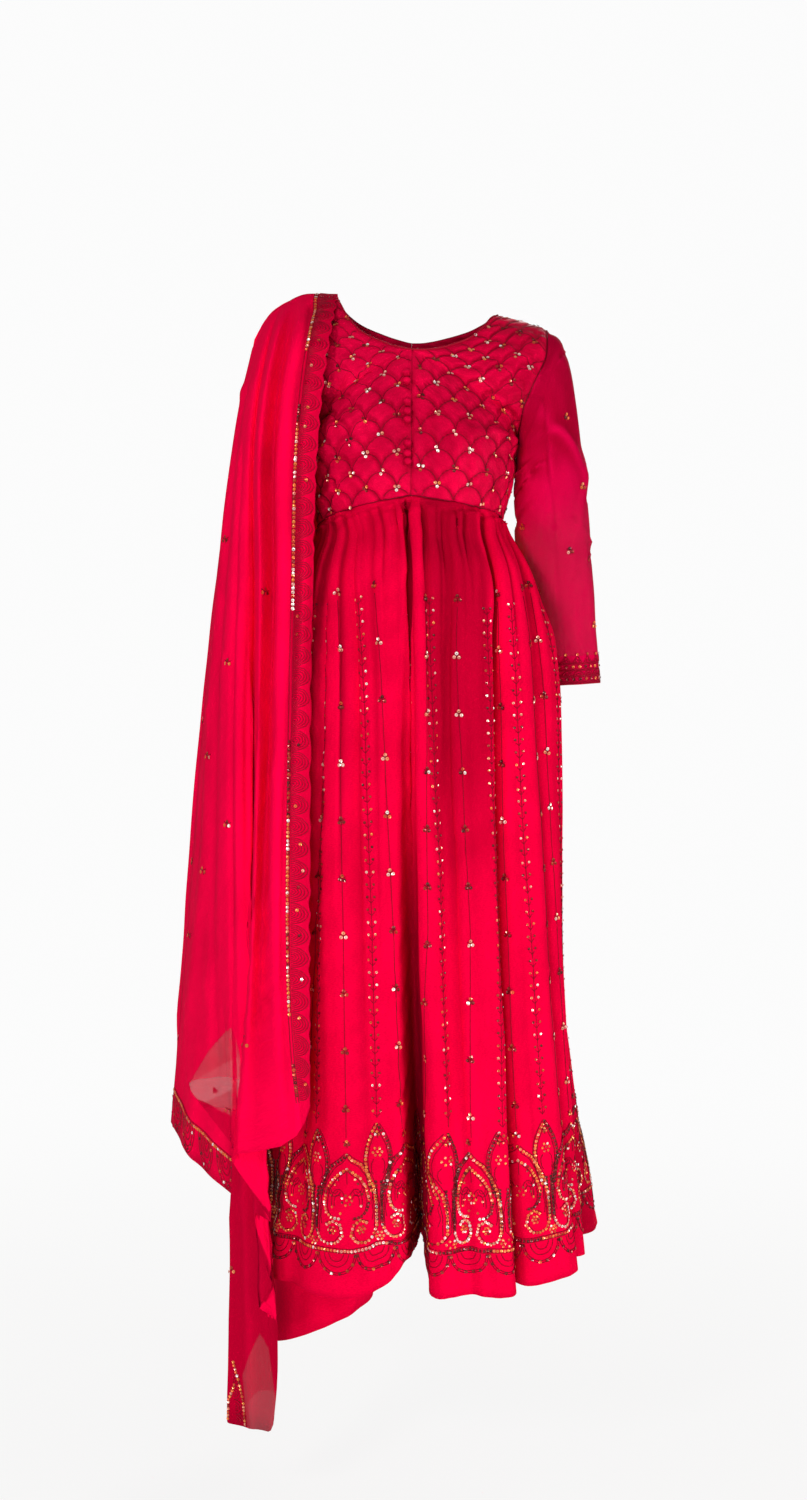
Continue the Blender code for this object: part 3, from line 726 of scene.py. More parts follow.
# ----- embroidery ------------------------------------------------------------------------------
class Tree(Nodes):
    """A Geometry Nodes tree with named inputs."""

    def __init__(self, name: str, sizes: dict[str, float]) -> None:
        """Start a tree.

        Args:
            name: Name of the tree.
            sizes: Named size inputs and their values.
        """
        self.sizes = sizes
        self.tree = bpy.data.node_groups.new(name, "GeometryNodeTree")
        face = self.tree.interface
        face.new_socket("Geometry", in_out="INPUT", socket_type="NodeSocketGeometry")
        for size in sizes:
            face.new_socket(size, in_out="INPUT", socket_type="NodeSocketFloat")
        face.new_socket("Finish", in_out="INPUT", socket_type="NodeSocketMaterial")
        face.new_socket("Geometry", in_out="OUTPUT", socket_type="NodeSocketGeometry")
        self.start = self.tree.nodes.new("NodeGroupInput")
        self.end = self.tree.nodes.new("NodeGroupOutput")

    def finish(self, geometry: Socket) -> None:
        """Realize the instances, set the finish and close the tree.

        Args:
            geometry: The geometry to finish.
        """
        real = self.add("GeometryNodeRealizeInstances", {0: geometry}).outputs[0]
        done = self.add("GeometryNodeSetMaterial", {
            "Geometry": real, "Material": self.start.outputs["Finish"]}).outputs[0]
        self.tree.links.new(done, self.end.inputs[0])

    def run(self, name: str, base: bpy.types.Mesh, finish: Material, smooth: bool) -> Piece:
        """Run the tree on a mesh and keep the result as a plain piece.

        Args:
            name: Name of the piece.
            base: Mesh that the tree starts from.
            finish: Material of the piece.
            smooth: Whether its faces are shaded smooth.

        Returns:
            The finished piece.
        """
        seed = put(name + "_seed", base)
        modifier = seed.modifiers.new("Sew", "NODES")
        modifier.node_group = self.tree
        for item in self.tree.interface.items_tree:
            if item.item_type != "SOCKET" or item.in_out != "INPUT":
                continue
            if item.name in self.sizes:
                modifier[item.identifier] = float(self.sizes[item.name])
            elif item.name == "Finish":
                modifier[item.identifier] = finish
        evaluated = seed.evaluated_get(bpy.context.evaluated_depsgraph_get())
        mesh = bpy.data.meshes.new_from_object(evaluated)
        mesh.name = name
        bpy.data.objects.remove(seed, do_unlink=True)
        bpy.data.meshes.remove(base)
        mesh.polygons.foreach_set("use_smooth", np.full(len(mesh.polygons), smooth))
        piece = put(name, mesh)
        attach(piece, "root")
        return piece


class Tone(Enum):
    """Tones of runs of sequins, their metal and painted reflection: middle tint, spread, and share
    painted as a white glint.
    """

    GOLD = (0.54, 0.15, 0.06)
    COPPER = (0.42, 0.15, 0.04)
    DARK = (0.04, 0.07, 0.03)
    ROSE = (0.82, 0.10, 0.10)
    DULL = (0.16, 0.14, 0.04)
    MIXED = (0.42, 0.22, 0.07)
    FOIL = (0.62, 0.22, 0.18)

    def tints(self, count: int, draw: np.random.Generator) -> Array:
        """Tints of a run of sequins.

        Args:
            count: Number of sequins.
            draw: Seeded numbers.

        Returns:
            One tint per sequin.
        """
        middle, spread, painted_glints = self.value
        tints = np.clip(draw.normal(middle, spread, count), 0.0, 0.92)
        tints[draw.random(count) < painted_glints] = 1.0
        return tints


@dataclass
class SequinWork:
    """Sequins sewn on a garment, gathered place by place and then made in one go."""

    finish: Material
    radius: float = 0.0022
    hole: float = 0.0006
    cup: float = 0.0007
    tilt: float = 0.22
    sides: int = 8
    places: list[Array] = field(default_factory=list)
    facings: list[Array] = field(default_factory=list)
    tints: list[Array] = field(default_factory=list)
    scales: list[Array] = field(default_factory=list)

    def sew(self, places: Array, facings: Array, tints: Array, scale: float) -> None:
        """Sew sequins at places of the cloth, facing out.

        Args:
            places: Places of the sequins.
            facings: Directions that they face.
            tints: Their tints.
            scale: Size of the sequins, as a share of the full one.
        """
        self.places.append(places)
        self.facings.append(facings)
        self.tints.append(tints)
        self.scales.append(np.full(len(places), scale))

    def build(self, name: str, slot: str, seed: int) -> Piece:
        """Make all the gathered sequins as one piece.

        Args:
            name: Name of the piece.
            slot: Not used.
            seed: Seed of how the sequins lean.

        Returns:
            The new piece.
        """
        places = np.concatenate(self.places)
        base = bpy.data.meshes.new(name + "_places")
        base.vertices.add(len(places))
        base.vertices.foreach_set("co", places.ravel())
        facing = base.attributes.new("facing", "FLOAT_VECTOR", "POINT")
        facing.data.foreach_set("vector", np.concatenate(self.facings).ravel())
        for label, values in (("tint", self.tints), ("size", self.scales)):
            layer = base.attributes.new(label, "FLOAT", "POINT")
            layer.data.foreach_set("value", np.concatenate(values))
        tree = Tree("Sew sequins", {"Radius": self.radius, "Hole": self.hole, "Cup": self.cup,
                                    "Tilt": self.tilt})
        given = tree.start.outputs
        disc = tree.add("GeometryNodeMeshCone", {
            "Vertices": self.sides, "Radius Top": given["Radius"],
            "Radius Bottom": given["Hole"], "Depth": given["Cup"]}, fill_type="NONE").outputs[0]
        out = tree.add("GeometryNodeInputNamedAttribute", {0: "facing"},
                       data_type="FLOAT_VECTOR").outputs[0]
        turn = tree.add("FunctionNodeAlignRotationToVector", {"Vector": out}, axis="Z").outputs[0]
        back = tree.add("ShaderNodeMath", {0: given["Tilt"], 1: -1.0},
                        operation="MULTIPLY").outputs[0]
        least, most = (tree.add("ShaderNodeCombineXYZ", dict.fromkeys(range(3), end)).outputs[0]
                       for end in (back, given["Tilt"]))
        lean = tree.add("FunctionNodeRandomValue", {"Min": least, "Max": most, "Seed": seed},
                        data_type="FLOAT_VECTOR").outputs[0]
        tilt = tree.add("FunctionNodeEulerToRotation", {0: lean}).outputs[0]
        turn = tree.add("FunctionNodeRotateRotation", {0: turn, 1: tilt},
                        rotation_space="LOCAL").outputs[0]
        size = tree.add("GeometryNodeInputNamedAttribute", {0: "size"},
                        data_type="FLOAT").outputs[0]
        sewn = tree.add("GeometryNodeInstanceOnPoints", {
            "Points": given["Geometry"], "Instance": disc, "Rotation": turn,
            "Scale": size}).outputs[0]
        tree.finish(sewn)
        piece = tree.run(name, base, self.finish, False)
        return piece


@dataclass
class ThreadWork:
    """Embroidery thread or cord laid along lines of the cloth."""

    finish: Material
    radius: float = 0.00045
    sides: int = 3
    lines: list[Array] = field(default_factory=list)

    def build(self, name: str, slot: str) -> Piece:
        """Make all the gathered threads as one piece.

        Args:
            name: Name of the piece.
            slot: Not used.

        Returns:
            The new piece.
        """
        points = np.concatenate(self.lines)
        ends = np.cumsum([len(line) for line in self.lines])
        first = np.arange(len(points) - 1)
        first = first[~np.isin(first + 1, ends)]
        base = bpy.data.meshes.new(name + "_lines")
        base.vertices.add(len(points))
        base.vertices.foreach_set("co", points.ravel())
        base.edges.add(len(first))
        base.edges.foreach_set("vertices", np.stack([first, first + 1], 1).ravel())
        tree = Tree("Lay thread", {"Radius": self.radius})
        path = tree.add("GeometryNodeMeshToCurve", {0: tree.start.outputs["Geometry"]}).outputs[0]
        ring = tree.add("GeometryNodeCurvePrimitiveCircle", {
            "Resolution": self.sides, "Radius": tree.start.outputs["Radius"]}).outputs[0]
        tube = tree.add("GeometryNodeCurveToMesh", {
            "Curve": path, "Profile Curve": ring, "Fill Caps": True}).outputs[0]
        tree.finish(tube)
        piece = tree.run(name, base, self.finish, True)
        return piece


def pace(x: Sequence[float], y: Sequence[float], pitch: float) -> tuple[Array, Array]:
    """Even steps along a line of points.

    Args:
        x: Across, along the cloth.
        y: Up, along the cloth.
        pitch: Distance between two steps.

    Returns:
        The steps' x and y.
    """
    x, y = np.asarray(x, dtype=float), np.asarray(y, dtype=float)
    run = np.concatenate([[0.0], np.cumsum(np.hypot(np.diff(x), np.diff(y)))])
    steps = np.linspace(0, run[-1], max(2, int(round(run[-1] / pitch)) + 1))
    return np.interp(steps, run, x), np.interp(steps, run, y)


@dataclass
class Canvas:
    """A stretch of cloth to embroider, drawn on in its own x and y along the cloth.

    Args:
        grid: The cloth.
        normals: Its normals.
        find: Gives grid places for x and y.
        sequins: Gathers the sequins.
        threads: Gathers the threads.
        draw: Seeded numbers for the sequins' tones.
    """

    grid: ClothGrid
    normals: Array
    find: Callable[[Array, Array], Found]
    sequins: SequinWork
    threads: ThreadWork
    draw: np.random.Generator

    def thread(self, x: Sequence[float], y: Sequence[float], lift: float = 0.0003,
               step: float = 0.0045) -> None:
        """Lay a thread, broken where the line leaves the cloth.

        Args:
            x: Places across the cloth.
            y: Places up the cloth.
            lift: How far off the cloth the thread lies.
            step: Distance between two points of the thread.
        """
        found = self.find(*pace(x, y, step))
        facing = unit(self.grid.blend(self.normals, found.rows, found.columns))
        points = self.grid.place(found.rows, found.columns) + facing * lift
        breaks = np.flatnonzero(np.diff(found.inside.astype(int))) + 1
        for part, inside in zip(np.split(points, breaks), np.split(found.inside, breaks)):
            if inside[0] and len(part) > 1:
                self.threads.lines.append(part)

    def arc(self, x: float, y: float, wide: float, high: float, first: float = 0.0,
            last: float = math.pi, count: int = 8) -> None:
        """Lay a thread along part of an oval.

        Args:
            x: Its middle across the cloth.
            y: Its middle up the cloth.
            wide: Half its width, negative to run the other way.
            high: Half its height, negative to hang down.
            first: Angle of its start.
            last: Angle of its end.
            count: Points along it.
        """
        turn = np.linspace(first, last, count)
        self.thread(x + np.cos(turn) * wide, y + np.sin(turn) * high)

    def dots(self, x: Sequence[float], y: Sequence[float], tone: Tone, scale: float = 1.0,
             lift: float = 0.0007) -> None:
        """Sew a sequin at each place that lies on the cloth.

        Args:
            x: Places across the cloth.
            y: Places up the cloth.
            tone: Tone of the sequins.
            scale: Size of the sequins, as a share of the full one.
            lift: How far off the cloth the sequins lie.
        """
        x, y = np.atleast_1d(x).astype(float), np.atleast_1d(y).astype(float)
        found = self.find(x, y)
        inside = found.inside
        if not inside.any():
            return
        rows, columns = found.rows[inside], found.columns[inside]
        facing = unit(self.grid.blend(self.normals, rows, columns))
        self.sequins.sew(self.grid.place(rows, columns) + facing * lift, facing,
                         tone.tints(len(x), self.draw)[inside], scale)

    def string(self, x: Sequence[float], y: Sequence[float], tone: Tone, pitch: float = 0.0043,
               scale: float = 0.84) -> None:
        """Sew a close row of sequins along a line."""
        self.dots(*pace(x, y, pitch), tone, scale)

    def cluster(self, x: float, y: float, tone: Tone, spread: float = 0.0032,
                scale: float = 1.0) -> None:
        """Sew one sequin above two round a knot of thread.

        Args:
            x: Its middle across the cloth.
            y: Its middle up the cloth.
            tone: Tone of the sequins.
            spread: Distance of each sequin from the middle.
            scale: Size of the sequins, as a share of the full one.
        """
        turns = np.radians([90.0, 210.0, 330.0]) + self.draw.uniform(-0.2, 0.2)
        self.dots(x + np.cos(turns) * spread, y + np.sin(turns) * spread, tone, scale)
        for turn in turns + math.pi / 3:
            self.thread([x, x + math.cos(turn) * 0.005], [y, y + math.sin(turn) * 0.005],
                        step=0.0025)

    def rosette(self, x: float, y: float, radius: float, tone: Tone, petals: int = 6) -> None:
        """Sew a ring of sequins round one.

        Args:
            x: Its middle across the cloth.
            y: Its middle up the cloth.
            radius: Radius of the ring.
            tone: Tone of the sequins.
            petals: Number of sequins round the middle one.
        """
        turns = np.linspace(0, 2 * math.pi, petals, endpoint=False)
        self.dots(x + np.cos(turns) * radius, y + np.sin(turns) * radius, tone, 0.72)
        self.dots([x], [y], tone, 0.72, 0.0009)


# ----- bodice ----------------------------------------------------------------------------------
class BodiceRow(NamedTuple):
    """A row of the bodice from its inner edge (neck, placket) to its outer (armhole, side)."""

    in_x: float
    in_y: float
    in_z: float
    out_x: float
    out_y: float
    out_z: float
    in_turn: float
    out_turn: float
    in_pull: float
    out_pull: float
    centre: float
    right_in_lift: float
    right_out_lift: float


BODICE_FRONT = (
    (0.105, 0.000, 0.000, 0.168, 0.000, -0.019, 0, 0, 0.020, 0.020, 0.000, 0.022, 0.018),
    (0.096, -0.021, -0.007, 0.1665, -0.027, -0.037, -8, 8, 0.022, 0.024, 0.000, 0.020, 0.017),
    (0.084, -0.042, -0.023, 0.1625, -0.045, -0.063, -6, 12, 0.026, 0.028, 0.000, 0.013, 0.015),
    (0.066, -0.058, -0.039, 0.148, -0.058, -0.094, -2, 25, 0.030, 0.030, 0.000, 0.008, 0.012),
    (0.034, -0.073, -0.052, 0.1355, -0.052, -0.1225, 0, 55, 0.038, 0.030, 0.000, 0.004, 0.010),
    (0.013, -0.0812, -0.0562, 0.1328, -0.038, -0.1380, 0, 66, 0.044, 0.036, -0.001, 0.002, 0.009),
    (-0.004, -0.0825, -0.0565, 0.1300, -0.022, -0.152, 0, 76, 0.050, 0.045, -0.004, 0.000, 0.008),
    (-0.0045, -0.1050, -0.095, 0.128, 0.000, -0.166, 0, 90, 0.066, 0.075, -0.0045, 0.000, 0.007),
    (-0.005, -0.123, -0.140, 0.1275, 0.000, -0.190, 0, 90, 0.082, 0.098, -0.005, 0.000, 0.004),
    (-0.0055, -0.121, -0.190, 0.1210, 0.000, -0.225, 0, 90, 0.078, 0.088, -0.0055, 0.000, -0.002),
    (-0.006, -0.112, -0.2385, 0.1105, 0.000, -0.262, 0, 90, 0.066, 0.070, -0.006, 0.000, -0.009),
)
BODICE_BACK = (
    (0.105, 0.000, 0.000, 0.168, 0.000, -0.019, 0, 0, 0.020, 0.020, 0.000, 0.022, 0.018),
    (0.097, 0.012, -0.004, 0.1665, 0.022, -0.037, 4, -6, 0.022, 0.024, 0.000, 0.020, 0.017),
    (0.085, 0.024, -0.010, 0.1620, 0.040, -0.063, 8, -8, 0.026, 0.028, 0.000, 0.013, 0.015),
    (0.066, 0.036, -0.017, 0.152, 0.050, -0.094, 8, -14, 0.030, 0.030, 0.000, 0.008, 0.012),
    (0.035, 0.047, -0.024, 0.141, 0.046, -0.1225, 4, -45, 0.038, 0.030, 0.000, 0.004, 0.010),
    (0.013, 0.0510, -0.0275, 0.1370, 0.036, -0.1380, 1, -60, 0.044, 0.036, -0.001, 0.002, 0.009),
    (-0.004, 0.052, -0.028, 0.1325, 0.022, -0.152, 0, -72, 0.050, 0.040, -0.004, 0.000, 0.008),
    (-0.004, 0.072, -0.080, 0.128, 0.000, -0.166, 0, -90, 0.062, 0.060, -0.004, 0.000, 0.007),
    (-0.004, 0.087, -0.140, 0.1275, 0.000, -0.190, 0, -90, 0.070, 0.070, -0.004, 0.000, 0.004),
    (-0.004, 0.094, -0.190, 0.1210, 0.000, -0.225, 0, -90, 0.068, 0.066, -0.004, 0.000, -0.002),
    (-0.004, 0.098, -0.245, 0.1105, 0.000, -0.262, 0, -90, 0.064, 0.062, -0.004, 0.000, -0.009),
)
UNDERARM_ROW = 7
NECK_ROW = 6             # the row that starts at the foot of the neck opening
BODICE_ROWS, BODICE_COLUMNS = 97, 49
UNDERARM_GRID_ROW = 56


def bodice_points(table: Sequence, right: bool, stations: Array, shares: Array) -> Array:
    """Points of a bodice half.

    Args:
        table: Rows of the front or of the back.
        right: Whether it is the wearer's right half.
        stations: Fractional rows of the table.
        shares: Shares of the way from the inner to the outer edge.

    Returns:
        Array of (stations, shares, 3).
    """
    handles = []
    for row in map(BodiceRow._make, table):
        inner = np.array([row.in_x, row.in_y, row.in_z])
        outer = np.array([row.out_x, row.out_y, row.out_z])
        if right:
            inner[2] += row.right_in_lift
            outer[2] += row.right_out_lift
        third = (outer[2] - inner[2]) / 3
        a, b = math.radians(row.in_turn), math.radians(row.out_turn)
        one = inner + np.array([math.cos(a) * row.in_pull, math.sin(a) * row.in_pull, third])
        two = outer - np.array([math.cos(b) * row.out_pull, math.sin(b) * row.out_pull, third])
        points = np.array([inner, one, two, outer])
        if right:
            points[:, 0] = 2 * row.centre - points[:, 0]
        handles.append(points)
    handles = np.array(handles)
    control = spline(handles, stations)
    above = stations <= NECK_ROW       # the neck edge turns a corner at its foot
    if above.any():
        control[above, :2] = spline(handles[:NECK_ROW + 1], stations[above])[:, :2]
    if (~above).any():
        control[~above, :2] = spline(handles[NECK_ROW:], stations[~above] - NECK_ROW)[:, :2]
    centre = spline([row[10] for row in table], stations)
    keep = np.minimum if right else np.maximum
    control[:, 0, 0] = keep(control[:, 0, 0], centre)
    hold = np.minimum if table is BODICE_FRONT else np.maximum
    control[:, 3, 1] = hold(control[:, 3, 1], 0.0)
    t = np.asarray(shares, dtype=float)[None, :, None]
    p = [control[:, k][:, None, :] for k in range(4)]
    return ((1 - t) ** 3 * p[0] + 3 * (1 - t) ** 2 * t * p[1]
            + 3 * (1 - t) * t ** 2 * p[2] + t ** 3 * p[3])


def waist_seam(turn: float) -> Array:
    """The point of the waist seam at a turn in degrees from the front towards +X.

    Args:
        turn: Turn in degrees from the front towards +X.

    Returns:
        The point.
    """
    turn = turn % 360
    table = BODICE_FRONT if turn <= 90 or turn >= 270 else BODICE_BACK
    folded = min(turn, 360 - turn)
    share = folded / 90 if folded <= 90 else (180 - folded) / 90
    last = np.array([len(table) - 1.0])
    return bodice_points(table, turn > 180, last, np.array([share]))[0, 0]


class Half(Enum):
    """The two halves of the body, named for the wearer."""

    LEFT = "left"
    RIGHT = "right"


class Face(Enum):
    """Front and back of the garment."""

    FRONT = "front"
    BACK = "back"


@dataclass
class ScaleLattice:
    """The stitched fish scales of the bodice: arches over staggered nodes.

    Args:
        first: Distance of the first column of nodes from the centre line.
        pitch: Distance between columns of nodes.
        drop: Height between one node and the next in the same column.
        level: Height of a node of the first column.
        step: Height of the second column's node above the first one's.
    """

    first: float
    pitch: float = 0.0216
    drop: float = 0.0442
    level: float = -0.1165
    step: float = 0.0233

    def node_level(self, column: int) -> float:
        """Height of one node of a column."""
        return self.level + (self.step if column % 2 else 0.0)

    def arches(self, width: float) -> list[tuple[float, float]]:
        """Centres of the arches within a width, as (across, height).

        Args:
            width: Width of the panel.

        Returns:
            Pairs of distance across and height.
        """
        return [(self.first + column * self.pitch,
                 self.node_level(column) - self.pitch + row * self.drop)
                for column in range(-1, int(width / self.pitch) + 2) for row in range(-7, 8)]

    def puff(self, across: Array, height: Array, width: float) -> Array:
        """How far each spot stands from the nearest line of stitches, 0 on a line to 1.

        Args:
            across: Distance of every spot across.
            height: Height of every spot.
            width: Width of the panel.

        Returns:
            One value per spot.
        """
        near = np.full(across.shape, 1.0)
        for x, z in self.arches(width):
            dx, dz = across - x, (height - z) * self.pitch / (self.drop / 2)
            away = np.abs(np.hypot(dx, dz) - self.pitch)
            away = np.where(dz > -0.001, away, 1.0)
            near = np.minimum(near, away)
        return smooth_step(near / 0.0065)


@dataclass
class Bodice:
    """Four fitted panels of quilted silk with a buttoned placket.

    Args:
        puff: Height of the quilting between its lines of stitches.
    """

    puff: float = 0.0020
    grids: dict[tuple[Face, Half], ClothGrid] = field(default_factory=dict)

    LATTICES = {
        (Face.FRONT, Half.LEFT): ScaleLattice(0.0123),
        (Face.FRONT, Half.RIGHT): ScaleLattice(0.0184, 0.0201, level=-0.1435, step=0.0209),
        (Face.BACK, Half.LEFT): ScaleLattice(0.0108),
        (Face.BACK, Half.RIGHT): ScaleLattice(0.0108),
    }
    DRAGS = {
        (Face.FRONT, Half.LEFT): (
            (0.30, 1.05, 0.74, 0.60, 0.006, 0.0045), (0.40, 1.05, 0.82, 0.68, 0.006, -0.0039),
            (0.20, 0.98, 0.91, 0.80, 0.006, 0.0030), (0.05, 0.60, 0.66, 0.72, 0.007, -0.0021),
            (0.55, 1.05, 0.46, 0.36, 0.007, 0.0033)),
        (Face.FRONT, Half.RIGHT): (
            (0.00, 0.98, 0.73, 0.79, 0.005, 0.0042), (0.10, 1.00, 0.83, 0.85, 0.006, -0.0039),
            (-0.05, 0.80, 0.63, 0.71, 0.006, 0.0033), (0.05, 0.90, 0.93, 0.90, 0.004, 0.0033),
            (-0.05, 0.55, 0.52, 0.60, 0.007, -0.0030), (0.10, 0.85, 0.89, 0.875, 0.003, -0.0024)),
        (Face.BACK, Half.LEFT): (
            (-0.05, 0.70, 0.62, 0.72, 0.007, 0.0033), (0.00, 0.80, 0.78, 0.86, 0.006, -0.0030),
            (0.10, 0.95, 0.92, 0.90, 0.005, 0.0027)),
        (Face.BACK, Half.RIGHT): (
            (0.35, 1.05, 0.74, 0.63, 0.007, 0.0030), (0.20, 1.00, 0.88, 0.78, 0.006, -0.0030),
            (0.05, 0.85, 0.90, 0.94, 0.005, 0.0027)),
    }

    def grid(self, face: Face, half: Half) -> ClothGrid:
        """The plain grid of one panel, its columns in the front to +X sense.

        Args:
            face: The front or the back.
            half: The wearer's left or right half.

        Returns:
            The panel's grid.
        """
        table = BODICE_FRONT if face is Face.FRONT else BODICE_BACK
        upper = np.linspace(0, UNDERARM_ROW, UNDERARM_GRID_ROW + 1)
        lower = np.linspace(UNDERARM_ROW, len(table) - 1, BODICE_ROWS - UNDERARM_GRID_ROW)
        stations = np.concatenate([upper, lower[1:]])
        points = bodice_points(table, half is Half.RIGHT, stations,
                               np.linspace(0, 1, BODICE_COLUMNS))
        if not self.inner_first(face, half):
            points = points[:, ::-1]
        return ClothGrid(trim(points, "tbfl"), np.linspace(0, 1, BODICE_COLUMNS))

    def inner_first(self, face: Face, half: Half) -> bool:
        """Whether the panel's first column is its inner edge."""
        return (half is Half.RIGHT) == (face is Face.BACK)

    def build(self) -> list[Piece]:
        """Build the four panels with their quilting.

        Returns:
            The four panels.
        """
        pieces = []
        for (face, half), lattice in self.LATTICES.items():
            grid = self.grid(face, half)
            right, up = self.spread(grid, face, half)
            total = grid.across[:, -1:]
            quilt = lattice.puff(right, up, float(right.max()))
            edge = smooth_step(np.minimum(grid.across, total - grid.across) / 0.008)
            grid.pull(self.DRAGS[face, half])
            grid.points = grid.points + grid.normals() * (quilt * self.puff * edge)[..., None]
            grid.ripple(0.030, 0.0016 if face is Face.FRONT else 0.0012, 11)
            grid.measure()
            self.grids[face, half] = grid
            name = f"bodice_{face.value}_{half.value}"
            piece = shell("Silk_" + name, grid, WALL)
            # painted light and shade: shade in the quilting's folds and under each front button, a
            # painted pool of light high on the wearer's right, shade elsewhere, and the puffs of
            # the quilting painted lighter
            x, z = grid.points[..., 0], grid.points[..., 2]
            light = np.exp(-((x + 0.080) / 0.050) ** 2 - ((z + 0.050) / 0.055) ** 2)
            under = sum(np.exp(-((x - Buttons.across) ** 2 + (z - level + 0.0036) ** 2)
                               / 0.0058 ** 2) for level in Buttons.levels)
            paint(piece, "hollow", 1.2 * grid.hollows(0.010) - 0.20 * quilt
                  + 0.42 * (1.0 - 2.9 * light) + (0.9 * under if face is Face.FRONT else 0.0))
            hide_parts(name)
            pieces.append(piece)
        return pieces

    def spread(self, grid: ClothGrid, face: Face, half: Half) -> tuple[Array, Array]:
        """Distances of every grid point from the centre line and up from the waist seam.

        Args:
            grid: The cloth.
            face: The front or the back.
            half: The wearer's left or right half.

        Returns:
            Distances across and up, one of each per grid point.
        """
        inner = grid.points[:, 0 if self.inner_first(face, half) else -1]
        centre = -0.004 if face is Face.BACK else -0.005
        gap = abs(inner[:, 0] - centre)[:, None]
        total = grid.across[:, -1:]
        across = grid.across if self.inner_first(face, half) else total - grid.across
        up = grid.points[-1, :, 2] + grid.down[-1] - grid.down
        return gap + across, up

    def embroider(self, sequins: SequinWork, threads: ThreadWork) -> None:
        """Stitch the scales and sew a cluster of three sequins on every node.

        Args:
            sequins: Gathers the sequins.
            threads: Gathers the threads.
        """
        draw = np.random.default_rng(5)
        for (face, half), lattice in self.LATTICES.items():
            grid = self.grids[face, half]
            right, up = self.spread(grid, face, half)
            canvas = Canvas(grid, grid.normals(), ClothMap(grid, right, up), sequins, threads,
                            draw)
            for x, y in lattice.arches(float(right.max())):
                canvas.arc(x, y, -lattice.pitch, lattice.drop / 2, count=15)
                top = y + lattice.drop / 2 + 0.001
                spread = 0.0032 * draw.uniform(0.85, 1.15)
                turn = np.radians([35.0, 145.0, 270.0]) + draw.uniform(-0.35, 0.35)
                keep = draw.random(3) > 0.10
                canvas.dots((x + np.cos(turn) * spread)[keep], (top + np.sin(turn) * spread)[keep],
                            draw.choice((Tone.ROSE, Tone.MIXED, Tone.DULL), p=(0.6, 0.2, 0.2)),
                            0.92)

    def trim(self, cords: ThreadWork, seams: ThreadWork) -> None:
        """Pipe the neck, and stitch along the waist, down the placket and round the armholes.

        Args:
            cords: Gathers the piping.
            seams: Gathers the seam threads.
        """
        neck = int(NECK_ROW / UNDERARM_ROW * UNDERARM_GRID_ROW)
        for (face, half), grid in self.grids.items():
            normals = grid.normals()
            inner = 0 if self.inner_first(face, half) else -1
            outer = -1 if inner == 0 else 0
            cords.lines.append(grid.points[:neck + 1, inner] + normals[:neck + 1, inner] * 0.0003)
            seams.lines.append(grid.points[-1] + normals[-1] * 0.0004)
            seams.lines.append(grid.points[:UNDERARM_GRID_ROW, outer]
                               + normals[:UNDERARM_GRID_ROW, outer] * 0.0003)
            if face is Face.FRONT and half is Half.LEFT:
                seams.lines.append(grid.points[neck + 2:, inner] - normals[neck + 2:,
                                                                           inner] * 0.0005)


